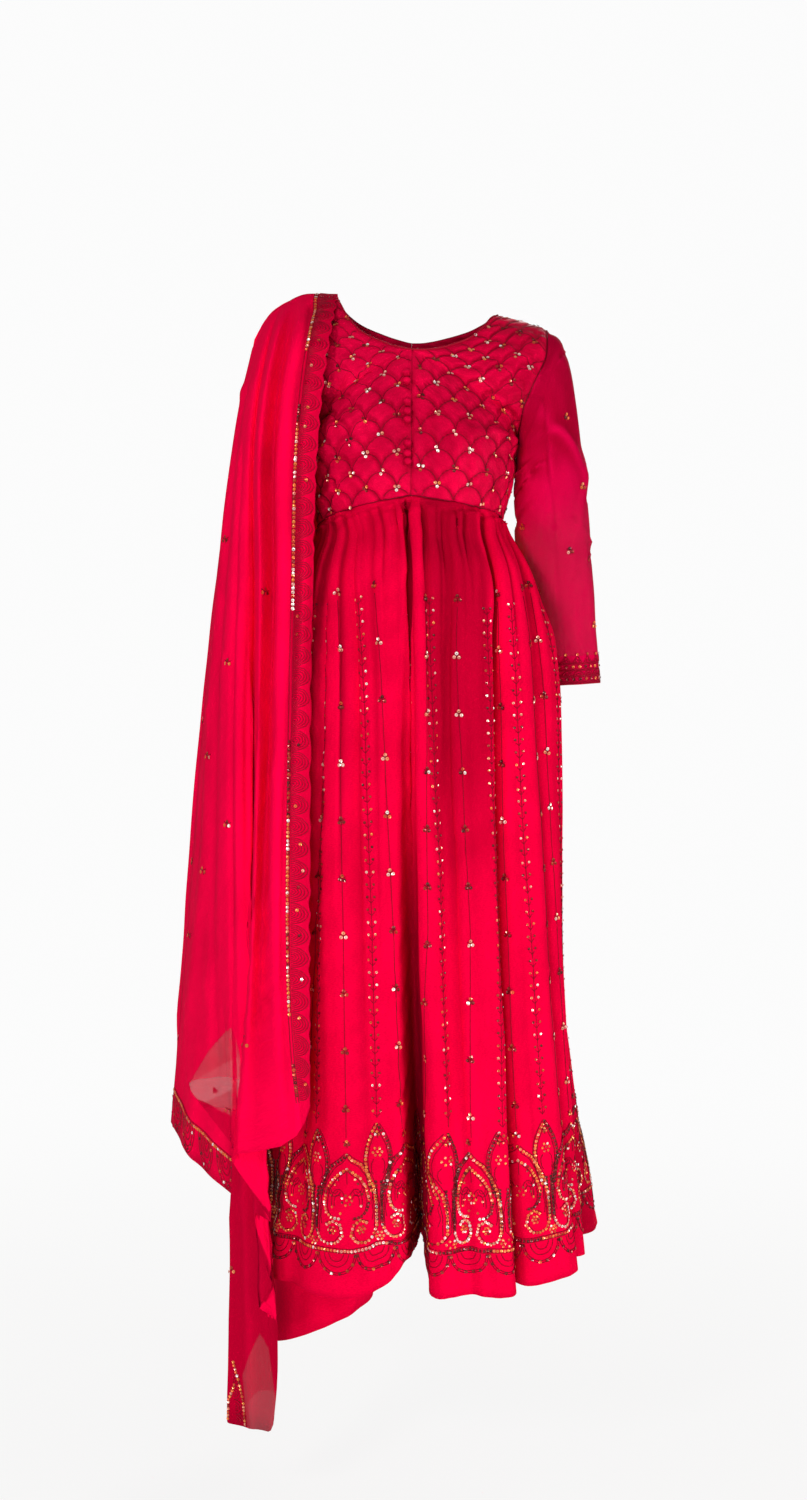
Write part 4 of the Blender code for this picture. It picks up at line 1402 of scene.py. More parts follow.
# ----- buttons ---------------------------------------------------------------------------------
@dataclass
class Buttons:
    """Covered domed buttons down the right front.

    Args:
        across: Their place beside the centre line.
        levels: Their heights.
        radius: Radius of a button.
        height: Height of its dome.
        lift: How far its seat stands off the silk.
    """

    across: float = -0.0104
    levels: tuple[float, ...] = (-0.0905, -0.1000, -0.1280, -0.1382, -0.1482, -0.1762,
                                 -0.1874, -0.1984)
    radius: float = 0.0053
    height: float = 0.0064
    lift: float = 0.0012

    STEPS, PLEATS = 28, 9
    COLUMN = 0.0029          # width of one column of the panel
    PROFILE = ((0.80, 0.0), (0.95, 0.06), (1.0, 0.20), (0.97, 0.42), (0.86, 0.66), (0.66, 0.85),
               (0.38, 0.96), (0.14, 1.0))

    def build(self, panel: ClothGrid) -> Piece:
        """Build all the buttons on the right front panel as one piece.

        Args:
            panel: The right front panel.

        Returns:
            The new piece.
        """
        normals = panel.normals()
        column = panel.points.shape[1] - 1.0
        vertices, faces = [], []
        for level in self.levels:
            for _ in range(3):
                line = panel.place(np.arange(0.0, len(panel.points) - 1),
                                   np.full(len(panel.points) - 1, column))
                row = np.interp(-level, -line[:, 2], np.arange(len(line)))
                edge = panel.place(np.array([row]), np.array([column]))[0]
                column -= (edge[0] - self.across) / self.COLUMN
            seat = panel.place(np.array([row]), np.array([column]))[0]
            facing = unit(panel.blend(normals, np.array([row]), np.array([column])))[0]
            self.dome(seat + facing * self.lift, facing, vertices, faces)
        mesh = bpy.data.meshes.new("Covered_buttons")
        mesh.from_pydata(vertices, [], faces)
        mesh.polygons.foreach_set("use_smooth", np.ones(len(faces), dtype=bool))
        mesh.update()
        piece = put("Covered_buttons", mesh)
        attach(piece, "root")
        # painted shade round the foot of each dome and on its lower side
        lower = np.clip(-np.cos(2 * math.pi * np.arange(self.STEPS) / self.STEPS), 0.0, 1.0)
        paint(piece, "hollow", np.concatenate([1.4 * (1.0 - up) ** 1.1 + 0.9 * out * lower - 0.15
                                               for out, up in self.PROFILE] + [[-0.15, 1.0]]))
        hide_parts(*[f"button_{n + 1}" for n in range(len(self.levels))])
        return piece

    def dome(self, seat: Array, facing: Array, vertices: list, faces: list) -> None:
        """Add one closed dome with a rounded lower edge.

        Args:
            seat: Middle of its base.
            facing: Direction that it faces.
            vertices: List that its points are added to.
            faces: List that its faces are added to.
        """
        side = unit(np.cross(facing, np.array([1.0, 0.0, 0.0])))
        other = np.cross(facing, side)
        steps, profile = self.STEPS, self.PROFILE
        first = len(vertices)
        for out, up in profile:
            for k in range(steps):
                angle = 2 * math.pi * k / steps
                pleat = 1.0 + 0.018 * math.cos(angle * self.PLEATS) * (1 - up)
                vertices.append(seat + facing * (up * self.height)
                                + (side * math.cos(angle) + other * math.sin(angle))
                                * (out * self.radius * pleat))
        vertices += [seat + facing * self.height, seat]
        top, base = len(vertices) - 2, len(vertices) - 1
        for k in range(steps):
            n = (k + 1) % steps
            for ring in range(len(profile) - 1):
                a, b = first + ring * steps, first + (ring + 1) * steps
                faces.append((a + k, a + n, b + n, b + k))
            last = first + (len(profile) - 1) * steps
            faces.append((last + k, last + n, top))
            faces.append((first + n, first + k, base))


# ----- sleeves ---------------------------------------------------------------------------------
class SleeveRing(NamedTuple):
    """A ring of the left sleeve: its outer and inner edge, middle and half depth."""

    outer_x: float
    outer_z: float
    inner_x: float
    inner_z: float
    mid_y: float
    depth: float
    right_lift: float


SLEEVE = (
    (0.1870, -0.036, 0.1292, -0.181, 0.000, 0.060, 0.016),
    (0.2000, -0.079, 0.1275, -0.198, 0.002, 0.058, 0.011),
    (0.2085, -0.135, 0.1262, -0.219, 0.006, 0.054, 0.007),
    (0.2175, -0.195, 0.1280, -0.245, 0.018, 0.050, 0.004),
    (0.2255, -0.260, 0.1320, -0.286, 0.034, 0.047, 0.002),
    (0.2330, -0.340, 0.1395, -0.352, 0.055, 0.045, 0.000),
    (0.2395, -0.410, 0.1480, -0.414, 0.070, 0.043, 0.000),
    (0.2445, -0.468, 0.1545, -0.4735, 0.081, 0.041, 0.000),
)
RIGHT_SLEEVE_SHIFT, RIGHT_SLEEVE_EASE = -0.0115, 0.0145


@dataclass
class Sleeves:
    """Two sheer sleeves set into the armholes, with embroidered cuffs.

    Args:
        steps: Points round a sleeve.
        rows: Points down a sleeve.
    """

    steps: int = 80
    rows: int = 84
    grids: dict[Half, ClothGrid] = field(default_factory=dict)

    CAP_ROWS, CAP_PASSES = 11, 14      # rows of the rounded cap, and how often it is smoothed
    CAP_RISE = (0.0034, 0.0036)        # outwards and up
    SINGLE_ROWS = (2.5, 77.5)          # between the armhole seam and the cuff
    OPEN_TOP, OPEN_GAIN = 0.06, 0.22   # light that passes at the top, and more lower down
    FOLD_REACH, FOLD_SHADE, CUFF_TOP, CUFF_SHADE, ARM_SHADE = 0.016, 2.0, 0.925, 0.55, 0.75
    CLUSTERS = ((0.047, 0.352), (0.052, 0.262), (0.020, 0.178), (0.056, 0.166), (0.050, 0.078),
                (-0.045, 0.215), (0.100, 0.300), (0.108, 0.120), (-0.070, 0.095), (0.150, 0.215))

    def armhole(self, right: bool) -> Array:
        """Points round the armhole: front middle, over the shoulder, back, underarm.

        Args:
            right: Whether it is the wearer's right one.

        Returns:
            Array of (steps, 3).
        """
        half = self.steps // 2
        stations = np.linspace(0, UNDERARM_ROW, half + 1)
        edge = np.array([1.0])
        front = bodice_points(BODICE_FRONT, right, stations, edge)[:, 0]
        back = bodice_points(BODICE_BACK, right, stations, edge)[:, 0]
        middle = half // 2
        return np.concatenate([front[middle:0:-1], back[:-1], front[:middle:-1]])

    def grid(self, half: Half) -> ClothGrid:
        """The closed grid of one sleeve.

        Args:
            half: The wearer's left or right half.

        Returns:
            The sleeve's grid.
        """
        right = half is Half.RIGHT
        flip = -1.0 if right else 1.0
        angles = np.radians(360 / self.steps * np.arange(self.steps))
        across = 0.5 + 0.5 * np.sin(angles)
        rings = [self.armhole(right)]
        for row in map(SleeveRing._make, SLEEVE):
            lift = row.right_lift if right else 0.0
            shift = RIGHT_SLEEVE_SHIFT + RIGHT_SLEEVE_EASE * across if right else 0.0
            rings.append(np.stack([
                (row.inner_x + (row.outer_x - row.inner_x) * across) * flip + shift,
                row.mid_y - row.depth * np.cos(angles),
                row.inner_z + (row.outer_z - row.inner_z) * across + lift], axis=1))
        points = fall(np.array(rings), self.rows)
        if right:
            points = points[:, ::-1]
        cap = np.sin(np.pi * np.clip(np.arange(self.rows) / self.CAP_ROWS, 0.0, 1.0))[:, None]
        crown = cap * (0.5 + 0.5 * np.sin(angles))[None, ::-1 if right else 1] ** 4
        out, rise = self.CAP_RISE
        points = points + crown[..., None] * np.array([out * flip, 0.0, rise])
        start = unit(points[1] - points[0])
        points[0] += start * (2.5 * SEAM_GAP) + np.array([-3 if right else 3, 0, 0]) * SEAM_GAP
        return ClothGrid(points, np.arange(self.steps) / self.steps, closed=True)

    def build(self) -> list[Piece]:
        """Build both sleeves with their folds.

        Returns:
            The two sleeves.
        """
        pieces = []
        for half in Half:
            grid = self.grid(half)
            grid.press(SLEEVE_CREASES)
            grid.ripple(0.050, 0.0018, 23 if half is Half.LEFT else 29, 1.6)
            last = self.CAP_ROWS + 1
            for _ in range(self.CAP_PASSES):       # the cap runs smoothly into the armhole
                cap = grid.points[1:last]
                grid.points[1:last] = 0.4 * cap + 0.15 * (
                    grid.points[:last - 1] + grid.points[2:last + 1] + np.roll(cap, 1, axis=1)
                    + np.roll(cap, -1, axis=1))
            grid.measure()
            self.grids[half] = grid
            piece = shell(f"Georgette_sleeve_{half.value}", grid, SHEER_WALL)
            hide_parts(f"sleeve_{half.value}")
            part = np.linspace(0, 1, self.rows)[:, None]
            paint(piece, "open", self.OPEN_TOP + 0 * grid.across
                  + self.OPEN_GAIN * smooth_step((part - 0.40) / 0.25))
            first, last = self.SINGLE_ROWS
            paint(piece, "single", 0.01 * np.minimum(part * self.rows - first,
                                                     last - part * self.rows) + 0 * grid.across)
            cuff = smooth_step((part - self.CUFF_TOP) / 0.01)
            arm = 1.0 - smooth_step((part - 0.36) / 0.20)
            paint(piece, "hollow", self.FOLD_SHADE * grid.hollows(self.FOLD_REACH)
                  + self.CUFF_SHADE * cuff + self.ARM_SHADE * arm)
            pieces.append(piece)
        return pieces

    def embroider(self, sequins: SequinWork, threads: ThreadWork) -> None:
        """Work the cuffs and sew a few clusters on each sleeve.

        Args:
            sequins: Gathers the sequins.
            threads: Gathers the threads.
        """
        draw = np.random.default_rng(9)
        for half, closed in self.grids.items():
            inner = int(np.argmin(abs(closed.points[self.rows // 2, :, 0])))
            grid = closed.cut([(inner + k) % self.steps for k in range(self.steps + 1)])
            front = int(np.argmin(grid.points[self.rows // 2, :, 1]))
            right = grid.across - grid.across[:, front:front + 1]
            if half is Half.RIGHT:
                right = -right
            up = grid.down[-1] - grid.down
            canvas = Canvas(grid, grid.normals(), ClothMap(grid, right, up, 0.05), sequins,
                            threads, draw)
            ends = np.array([right[-1].min(), right[-1].max()])
            for level in (0.0015, 0.0032, 0.0050, 0.0105, 0.0122, 0.0190, 0.0206, 0.0275, 0.0292):
                canvas.thread(ends, [level, level])
            for level, tone in ((0.0078, Tone.DULL), (0.0240, Tone.MIXED)):
                canvas.string(ends, [level, level], tone, 0.0085, 0.9)
            count = int((ends[1] - ends[0]) / 0.0150)
            for x in np.linspace(ends[0] + 0.008, ends[1] - 0.008, count):
                for reach in (0.0068, 0.0040):
                    canvas.arc(x, 0.0108, reach, reach * 1.1)
                canvas.thread([x - 0.0055, x, x + 0.0055], [0.0300, 0.0385, 0.0300])
                canvas.thread([x - 0.0028, x, x + 0.0028], [0.0300, 0.0350, 0.0300])
                canvas.dots([x], [0.0405], Tone.COPPER, 0.85)
            for x, y in self.CLUSTERS:
                canvas.cluster(x, y, Tone.MIXED)


SLEEVE_CREASES = (
    (0.08, 0.32, 0.10, 0.88, 0.010, 0.0055),
    (0.14, 0.38, 0.14, 0.92, 0.007, -0.0050),
    (0.16, 0.40, 0.22, 0.98, 0.006, 0.0040),
    (0.30, 0.52, 0.02, 0.20, 0.009, 0.0045),
    (0.38, 0.60, 0.94, 0.10, 0.007, -0.0040),
    (0.46, 0.66, 0.24, 0.08, 0.010, 0.0040),
    (0.50, 0.74, 0.90, 0.04, 0.012, -0.0040),
    (0.66, 0.95, 0.14, 0.18, 0.011, 0.0035),
    (0.60, 0.90, 0.02, 0.98, 0.008, 0.0030),
    (0.05, 0.40, 0.40, 0.56, 0.012, 0.0040),
    (0.35, 0.80, 0.62, 0.44, 0.012, -0.0035),
    (0.55, 0.97, 0.70, 0.74, 0.012, 0.0030),
)


# ----- skirt -----------------------------------------------------------------------------------
class SkirtLevel(NamedTuple):
    """The smooth section of the skirt at one level, before the folds."""

    z: float
    mid_x: float
    mid_y: float
    half_width: float
    front: float
    back: float
    fold_share: float


class Fold(NamedTuple):
    """One ridge or valley line; turns are measured from the front towards +X."""

    name: str
    waist_turn: float
    hip_turn: float
    hem_turn: float
    hip_out: float
    hem_out: float
    hem_lift: float


SKIRT_LEVELS = (
    (-0.285, -0.002, -0.002, 0.1240, 0.124, 0.104, 0.30),
    (-0.340, 0.000, -0.012, 0.1500, 0.136, 0.112, 0.60),
    (-0.460, 0.000, -0.015, 0.1800, 0.155, 0.135, 1.00),
    (-0.620, 0.000, -0.010, 0.1900, 0.168, 0.160, 1.00),
    (-0.800, 0.002, 0.000, 0.2020, 0.183, 0.190, 1.00),
    (-1.000, 0.006, 0.004, 0.2160, 0.197, 0.215, 1.00),
    (HEM_Z, 0.010, 0.008, 0.2360, 0.208, 0.240, 1.00),
)
HIP_LEVEL_Z = -0.460
SKIRT_FOLDS = (
    ("front slot floor", -3, -2.5, -1.5, -0.012, -0.150, 0.040),
    ("front slot right wall", -0.8, 0.0, 1.2, -0.008, -0.080, 0.018),
    ("front slot right lip", 1, 1.2, 2.6, 0.003, -0.010, 0.000),
    ("left front ridge", 6, 4.8, 8.5, 0.008, 0.000, 0.000),
    ("left front hollow", 21, 13.4, 14.5, -0.010, -0.004, 0.002),
    ("left panel near edge", 26, 16.6, 17.5, 0.002, 0.005, 0.000),
    ("left front panel", 36, 24.0, 22.5, 0.006, 0.009, -0.002),
    ("left panel far edge", 43, 30.5, 28.0, 0.002, 0.003, 0.000),
    ("left slot", 47, 33.2, 30.5, -0.028, -0.034, 0.006),
    ("left slot lip", 51, 35.8, 33.5, 0.002, -0.006, 0.003),
    ("left hip ridge", 59, 43.5, 45.0, 0.008, 0.002, 0.006),
    ("left hip ridge far", 67, 51.5, 54.5, 0.004, -0.002, 0.010),
    ("left hip valley", 73, 55.8, 59.0, -0.016, -0.034, 0.014),
    ("left side corner", 82, 64.0, 72.0, 0.003, -0.020, 0.012),
    ("left side valley", 93, 84.0, 91.0, 0.000, -0.070, 0.010),
    ("left back lip", 103, 101.0, 103.0, -0.022, -0.004, 0.010),
    ("left back ridge", 114, 116.0, 121.0, -0.020, 0.030, 0.012),
    ("left back valley", 127, 130.0, 134.0, -0.014, -0.052, 0.004),
    ("back ridge left", 141, 143.0, 147.0, 0.006, 0.012, 0.000),
    ("back valley left", 155, 156.0, 160.0, -0.010, -0.048, 0.002),
    ("back ridge middle", 169, 169.0, 172.0, 0.007, 0.016, -0.002),
    ("back valley middle", 183, 183.0, 186.0, -0.011, -0.042, 0.003),
    ("back ridge right", 197, 197.0, 200.0, 0.007, 0.010, 0.000),
    ("back valley right", 210, 211.0, 212.0, -0.010, -0.050, 0.003),
    ("right back ridge", 222, 224.0, 226.0, -0.010, 0.014, 0.000),
    ("right back valley", 234, 238.0, 240.0, -0.020, -0.044, 0.006),
    ("right back lip", 246, 251.0, 252.0, -0.021, 0.006, 0.004),
    ("right side valley", 258, 264.0, 264.0, -0.006, -0.046, 0.006),
    ("right side ridge", 271, 281.0, 277.0, 0.002, 0.006, 0.002),
    ("right hip valley", 287, 300.0, 292.0, -0.010, -0.040, 0.004),
    ("right hip ridge", 299, 311.0, 306.0, 0.003, -0.004, 0.000),
    ("right slot", 306, 319.0, 317.0, -0.018, -0.003, 0.001),
    ("right ridge edge", 309, 324.5, 325.5, 0.003, 0.010, -0.001),
    ("right front ridge", 313, 330.5, 335.0, 0.007, 0.014, -0.003),
    ("right front hollow", 321, 337.0, 343.5, -0.007, 0.010, 0.004),
    ("right panel edge", 325, 339.8, 346.5, 0.003, 0.006, 0.010),
    ("right front panel", 336, 346.5, 350.0, 0.006, 0.002, 0.020),
    ("front slot left lip", 350, 353.2, 354.2, 0.003, -0.008, 0.040),
    ("front slot left wall", 354, 355.4, 356.4, -0.007, -0.080, 0.040),
)
FOLD_NAMES = [row[0] for row in SKIRT_FOLDS]
RIGHT_SEAM, LEFT_SEAM, BACK_SEAM = (FOLD_NAMES.index(name) for name in (
    "right hip ridge", "left side valley", "back valley middle"))


@dataclass
class Skirt:
    """The long pleated skirt, a front and a back panel gathered into the waist seam.

    Args:
        step: Distance between grid columns near the hem.
        rows: Grid rows.
    """

    step: float = 0.0042
    rows: int = 112
    grid: ClothGrid | None = None

    CUTS = {"skirt_front": (0.92, 0.76), "skirt_back_left": (0.47, 0.78),
            "skirt_back_right": (0.56, 0.78)}
    FOLD_REACH, FOLD_SHADE, WAIST_SHADE, PANEL_SHADE = 0.012, 0.85, 0.24, 0.60
    PANEL = (2.7, 6.9)       # fold stations of the shaded front panel

    def ring(self, level: int) -> Array:
        """The fold lines' points on one level; level 0 is the waist seam.

        Args:
            level: Level of the tables, 0 for the waist seam.

        Returns:
            One point per fold line.
        """
        ring = []
        for fold in map(Fold._make, SKIRT_FOLDS):
            seam = waist_seam(fold.waist_turn)
            if level == 0:
                away = unit(np.array([seam[0], seam[1], 0.0]))
                ring.append(seam + away * (0.0022 if fold.hip_out > 0 else 0.0))
                continue
            size = SkirtLevel._make(SKIRT_LEVELS[level - 1])
            if size.z > HIP_LEVEL_Z:
                part = (size.z - seam[2]) / (HIP_LEVEL_Z - seam[2])
                turn = fold.waist_turn + (fold.hip_turn - fold.waist_turn) * part ** 0.7
                out, foot = fold.hip_out * size.fold_share, 0.0
            else:
                part = (size.z - HIP_LEVEL_Z) / (HEM_Z - HIP_LEVEL_Z)
                turn = fold.hip_turn + (fold.hem_turn - fold.hip_turn) * part
                out = fold.hip_out + (fold.hem_out - fold.hip_out) * part ** 1.3
                foot = fold.hem_lift * max(0.0, (part - 0.75) / 0.25)
            angle = math.radians(turn)
            depth = size.front if math.cos(angle) > 0 else size.back
            base = np.array([size.half_width * math.sin(angle), -depth * math.cos(angle), 0.0])
            ring.append(np.array([size.mid_x, size.mid_y, size.z + foot]) + base
                        + unit(base) * out)
        return np.array(ring)

    def stations(self, rings: Array) -> Array:
        """Column stations, with more columns where two fold lines lie further apart.

        Args:
            rings: The fold lines' points on every row.

        Returns:
            One station per column.
        """
        wide = np.linalg.norm(np.roll(rings, -1, axis=1) - rings, axis=2)
        waist = wide[:len(rings) // 8].mean(axis=0) * 1.9
        wide = np.maximum(wide[len(rings) // 3:].mean(axis=0), waist)
        return np.concatenate([
            np.linspace(i, i + 1, max(4, math.ceil(width / self.step)), endpoint=False)
            for i, width in enumerate(wide)])

    def gather(self, grid: ClothGrid) -> Array:
        """Fold uneven knife pleats under the waist seam; they open out lower down.

        Args:
            grid: The cloth.

        Returns:
            The painted shade of every spot, deepest at the low side of each pleat.
        """
        draw = np.random.default_rng(8)
        rows = np.linspace(0.0, 1.0, self.rows)[:, None]
        push, shade = np.zeros((2, *grid.points.shape[:2]))
        around = grid.across[4]
        start = 0.0
        while start < around[-1]:
            width = draw.uniform(0.008, 0.017) * (1.0 if draw.random() < 0.6 else 1.8)
            picks = np.flatnonzero((around >= start) & (around < start + width))
            rise = (around[picks] - start) / width
            rise = rise if draw.random() < 0.65 else 1.0 - rise
            rise = smooth_step(rise / draw.uniform(0.30, 0.75))
            depth, end = draw.uniform(0.0030, 0.0095), 0.34 + 0.5 * draw.random() ** 2.5
            fade = smooth_step(rows / 0.05) * smooth_step((end - rows) / 0.28)
            push[:, picks] = fade * depth * (rise - 0.6)
            shade[:, picks] = fade * (1.0 - rise) ** 2 * depth / 0.0070
            start += width
        grid.points = grid.points + grid.normals() * push[..., None]
        grid.measure()
        return shade

    def recess_shade(self, grid: ClothGrid) -> Array:
        """Painted shade for how far back every spot lies in a slot between two folds, 0 to 1 and
        more.

        Args:
            grid: The cloth.

        Returns:
            One value per grid point.
        """
        z = grid.points[..., 2]
        levels = np.array(SKIRT_LEVELS)[::-1]
        middle = np.stack([np.interp(z, levels[:, 0], levels[:, k]) for k in (1, 2)], axis=-1)
        out = np.linalg.norm(grid.points[..., :2] - middle, axis=2)
        reach = int(0.045 / self.step)
        count = out.shape[1]
        wide = np.pad(out, ((0, 0), (reach, reach)), mode="wrap")
        crest = np.max([wide[:, k:k + count] for k in range(2 * reach + 1)], axis=0)
        deep = np.clip((crest - out - 0.012) / 0.036, 0.0, 0.85)
        # the painted shade is faint near the waist
        return deep * (0.10 + 0.90 * smooth_step((-0.44 - z) / 0.26))

    def build(self) -> list[Piece]:
        """Build the front and the two back panels with their creases.

        Returns:
            The three panels.
        """
        rings = np.array([self.ring(level) for level in range(len(SKIRT_LEVELS) + 1)])
        rings = spline(rings, np.linspace(0, len(SKIRT_LEVELS), self.rows))
        stations = self.stations(rings)
        points = np.array([spline(ring, stations, closed=True) for ring in rings])
        grid = ClothGrid(points, stations, closed=True)
        shade = self.gather(grid)
        grid.press(SKIRT_CREASES)
        grid.measure()
        grid.pull(SKIRT_DRAGS)
        grid.ripple(0.040, 0.0024, 3)
        grid.measure()
        self.grid = grid
        normals = grid.normals()
        # painted shade: in the folds, the slots and the pleats, along the waist, and on the middle
        # front panel
        hollows = np.max([self.FOLD_SHADE * grid.hollows(self.FOLD_REACH), self.recess_shade(grid),
                          self.FOLD_SHADE * shade], axis=0)
        rows = np.linspace(0.0, 1.0, self.rows)[:, None]
        middle = (smooth_step((stations - self.PANEL[0]) / 0.5)
                  * smooth_step((self.PANEL[1] - stations) / 0.5))
        hollows = (hollows + self.WAIST_SHADE * (1.0 - smooth_step(rows / 0.30))
                   + self.PANEL_SHADE * middle * smooth_step((0.76 - rows) / 0.30))
        count = len(stations)
        pieces = []
        right, left, back = (int(np.argmin(abs(stations - seam)))
                             for seam in (RIGHT_SEAM, LEFT_SEAM, BACK_SEAM))
        for name, first, last in (("skirt_front", right - count, left),
                                  ("skirt_back_left", left, back),
                                  ("skirt_back_right", back, right)):
            picks = [j % count for j in range(first, last + 1)]
            panel = grid.cut(picks)
            panel.points = trim(panel.points, "tfl")
            panel.points[0, :, 2] -= 2 * SEAM_GAP
            panel.measure()
            piece = shell("Crepe_" + name, panel, WALL,
                          normals=normals[:, picks])
            paint(piece, "hollow", hollows[:, picks])
            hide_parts(name)
            pieces.append(piece)
        return pieces


SKIRT_CREASES = (
    # long folds that fan out from the middle of the front waist
    (0.05, 0.60, -7.30, -6.90, 0.0060, -0.0060),
    (0.05, 0.85, -5.65, -5.70, 0.0100, 0.0050),
    (0.04, 0.56, -4.70, -5.05, 0.0045, -0.0065),
    (0.05, 0.72, -3.30, -3.35, 0.0100, 0.0050),
    (0.03, 0.38, -2.65, -2.55, 0.0050, -0.0070),
    (0.12, 0.70, -2.10, -2.15, 0.0045, -0.0060),
    (0.05, 0.50, -1.60, -1.60, 0.0050, 0.0055),
    (0.04, 0.76, 2.25, 2.10, 0.0065, 0.0055),
    (0.05, 0.54, 3.05, 2.85, 0.0060, -0.0078),
    (0.03, 0.30, 3.95, 3.85, 0.0050, -0.0050),
    (0.05, 0.60, 4.60, 4.45, 0.0100, 0.0036),
    (0.03, 0.27, 5.75, 5.60, 0.0050, -0.0052),
    # soft swells and channels that run on down the front
    (0.34, 1.05, -6.55, -6.40, 0.0090, 0.0030),
    (0.42, 0.98, -5.35, -5.50, 0.0070, -0.0026),
    (0.38, 1.05, -4.60, -4.42, 0.0080, 0.0026),
    (0.50, 1.05, -3.45, -3.30, 0.0100, -0.0032),
    (0.44, 0.96, -2.75, -2.62, 0.0060, 0.0026),
    (0.40, 1.02, 2.45, 2.55, 0.0070, 0.0028),
    (0.52, 1.05, 3.60, 3.45, 0.0080, -0.0030),
    (0.36, 0.92, 4.70, 4.55, 0.0075, 0.0028),
    (0.48, 1.05, 5.50, 5.42, 0.0085, -0.0030),
    (0.40, 1.05, 6.55, 6.50, 0.0070, 0.0030),
    (0.44, 1.00, 9.45, 9.50, 0.0080, -0.0028),
    (0.50, 1.05, 10.40, 10.30, 0.0090, 0.0036),
    (0.38, 0.98, 11.55, 11.45, 0.0085, -0.0036),
    (0.55, 1.05, 12.55, 12.60, 0.0080, 0.0036),
    # the left side and the back
    (0.35, 1.05, 13.60, 13.45, 0.0120, 0.0050),
    (0.40, 1.00, 15.45, 15.60, 0.0110, -0.0050),
    (0.45, 1.05, 16.55, 16.40, 0.0100, 0.0044),
    (0.40, 1.05, 18.60, 18.50, 0.0100, 0.0046),
    (0.46, 0.98, 20.50, 20.40, 0.0090, -0.0044),
    (0.38, 1.05, 22.60, 22.55, 0.0110, 0.0048),
    (0.50, 1.05, 24.45, 24.60, 0.0095, 0.0044),
    (0.42, 1.00, 26.50, 26.40, 0.0100, -0.0046),
)
SKIRT_DRAGS = (
    (-5.9, -3.2, 0.762, 0.770, 0.0040, -0.0022),
    (-6.2, -2.6, 0.846, 0.838, 0.0045, -0.0026),
    (-5.6, -2.4, 0.868, 0.874, 0.0040, 0.0020),
    (-5.0, -2.9, 0.700, 0.690, 0.0060, 0.0018),
    (3.2, 6.2, 0.600, 0.615, 0.0060, -0.0018),
    (2.6, 5.2, 0.810, 0.800, 0.0050, 0.0018),
    (4.4, 6.8, 0.905, 0.895, 0.0050, -0.0020),
    (9.2, 12.4, 0.720, 0.735, 0.0060, 0.0020),
    (14.2, 17.5, 0.660, 0.680, 0.0070, 0.0026),
    (18.2, 21.4, 0.790, 0.780, 0.0060, -0.0024),
    (22.4, 26.0, 0.700, 0.715, 0.0070, 0.0024),
)


class Stitch(Enum):
    """The two lines of embroidery that take turns round the skirt."""

    CLUSTERS = "clusters"
    STEM = "stem"


class SkirtLine(NamedTuple):
    """One line of embroidery: its fold station at the hip, the knee and the hem."""

    stitch: Stitch
    hip: float
    knee: float
    hem: float


SKIRT_LINES = [SkirtLine((Stitch.STEM, Stitch.CLUSTERS)[n % 2], *row) for n, row in enumerate((
    (-7.25, -7.05, -6.80), (-6.00, -5.70, -5.63), (-4.00, -3.55, -3.60), (-3.10, -2.35, -1.90),
    (-0.30, -0.10, 0.00), (2.85, 2.55, 1.30), (3.15, 3.35, 3.15), (4.85, 5.25, 4.40),
    (6.45, 6.75, 6.25), (8.80, 8.85, 8.90), (9.55, 9.80, 9.85)))]


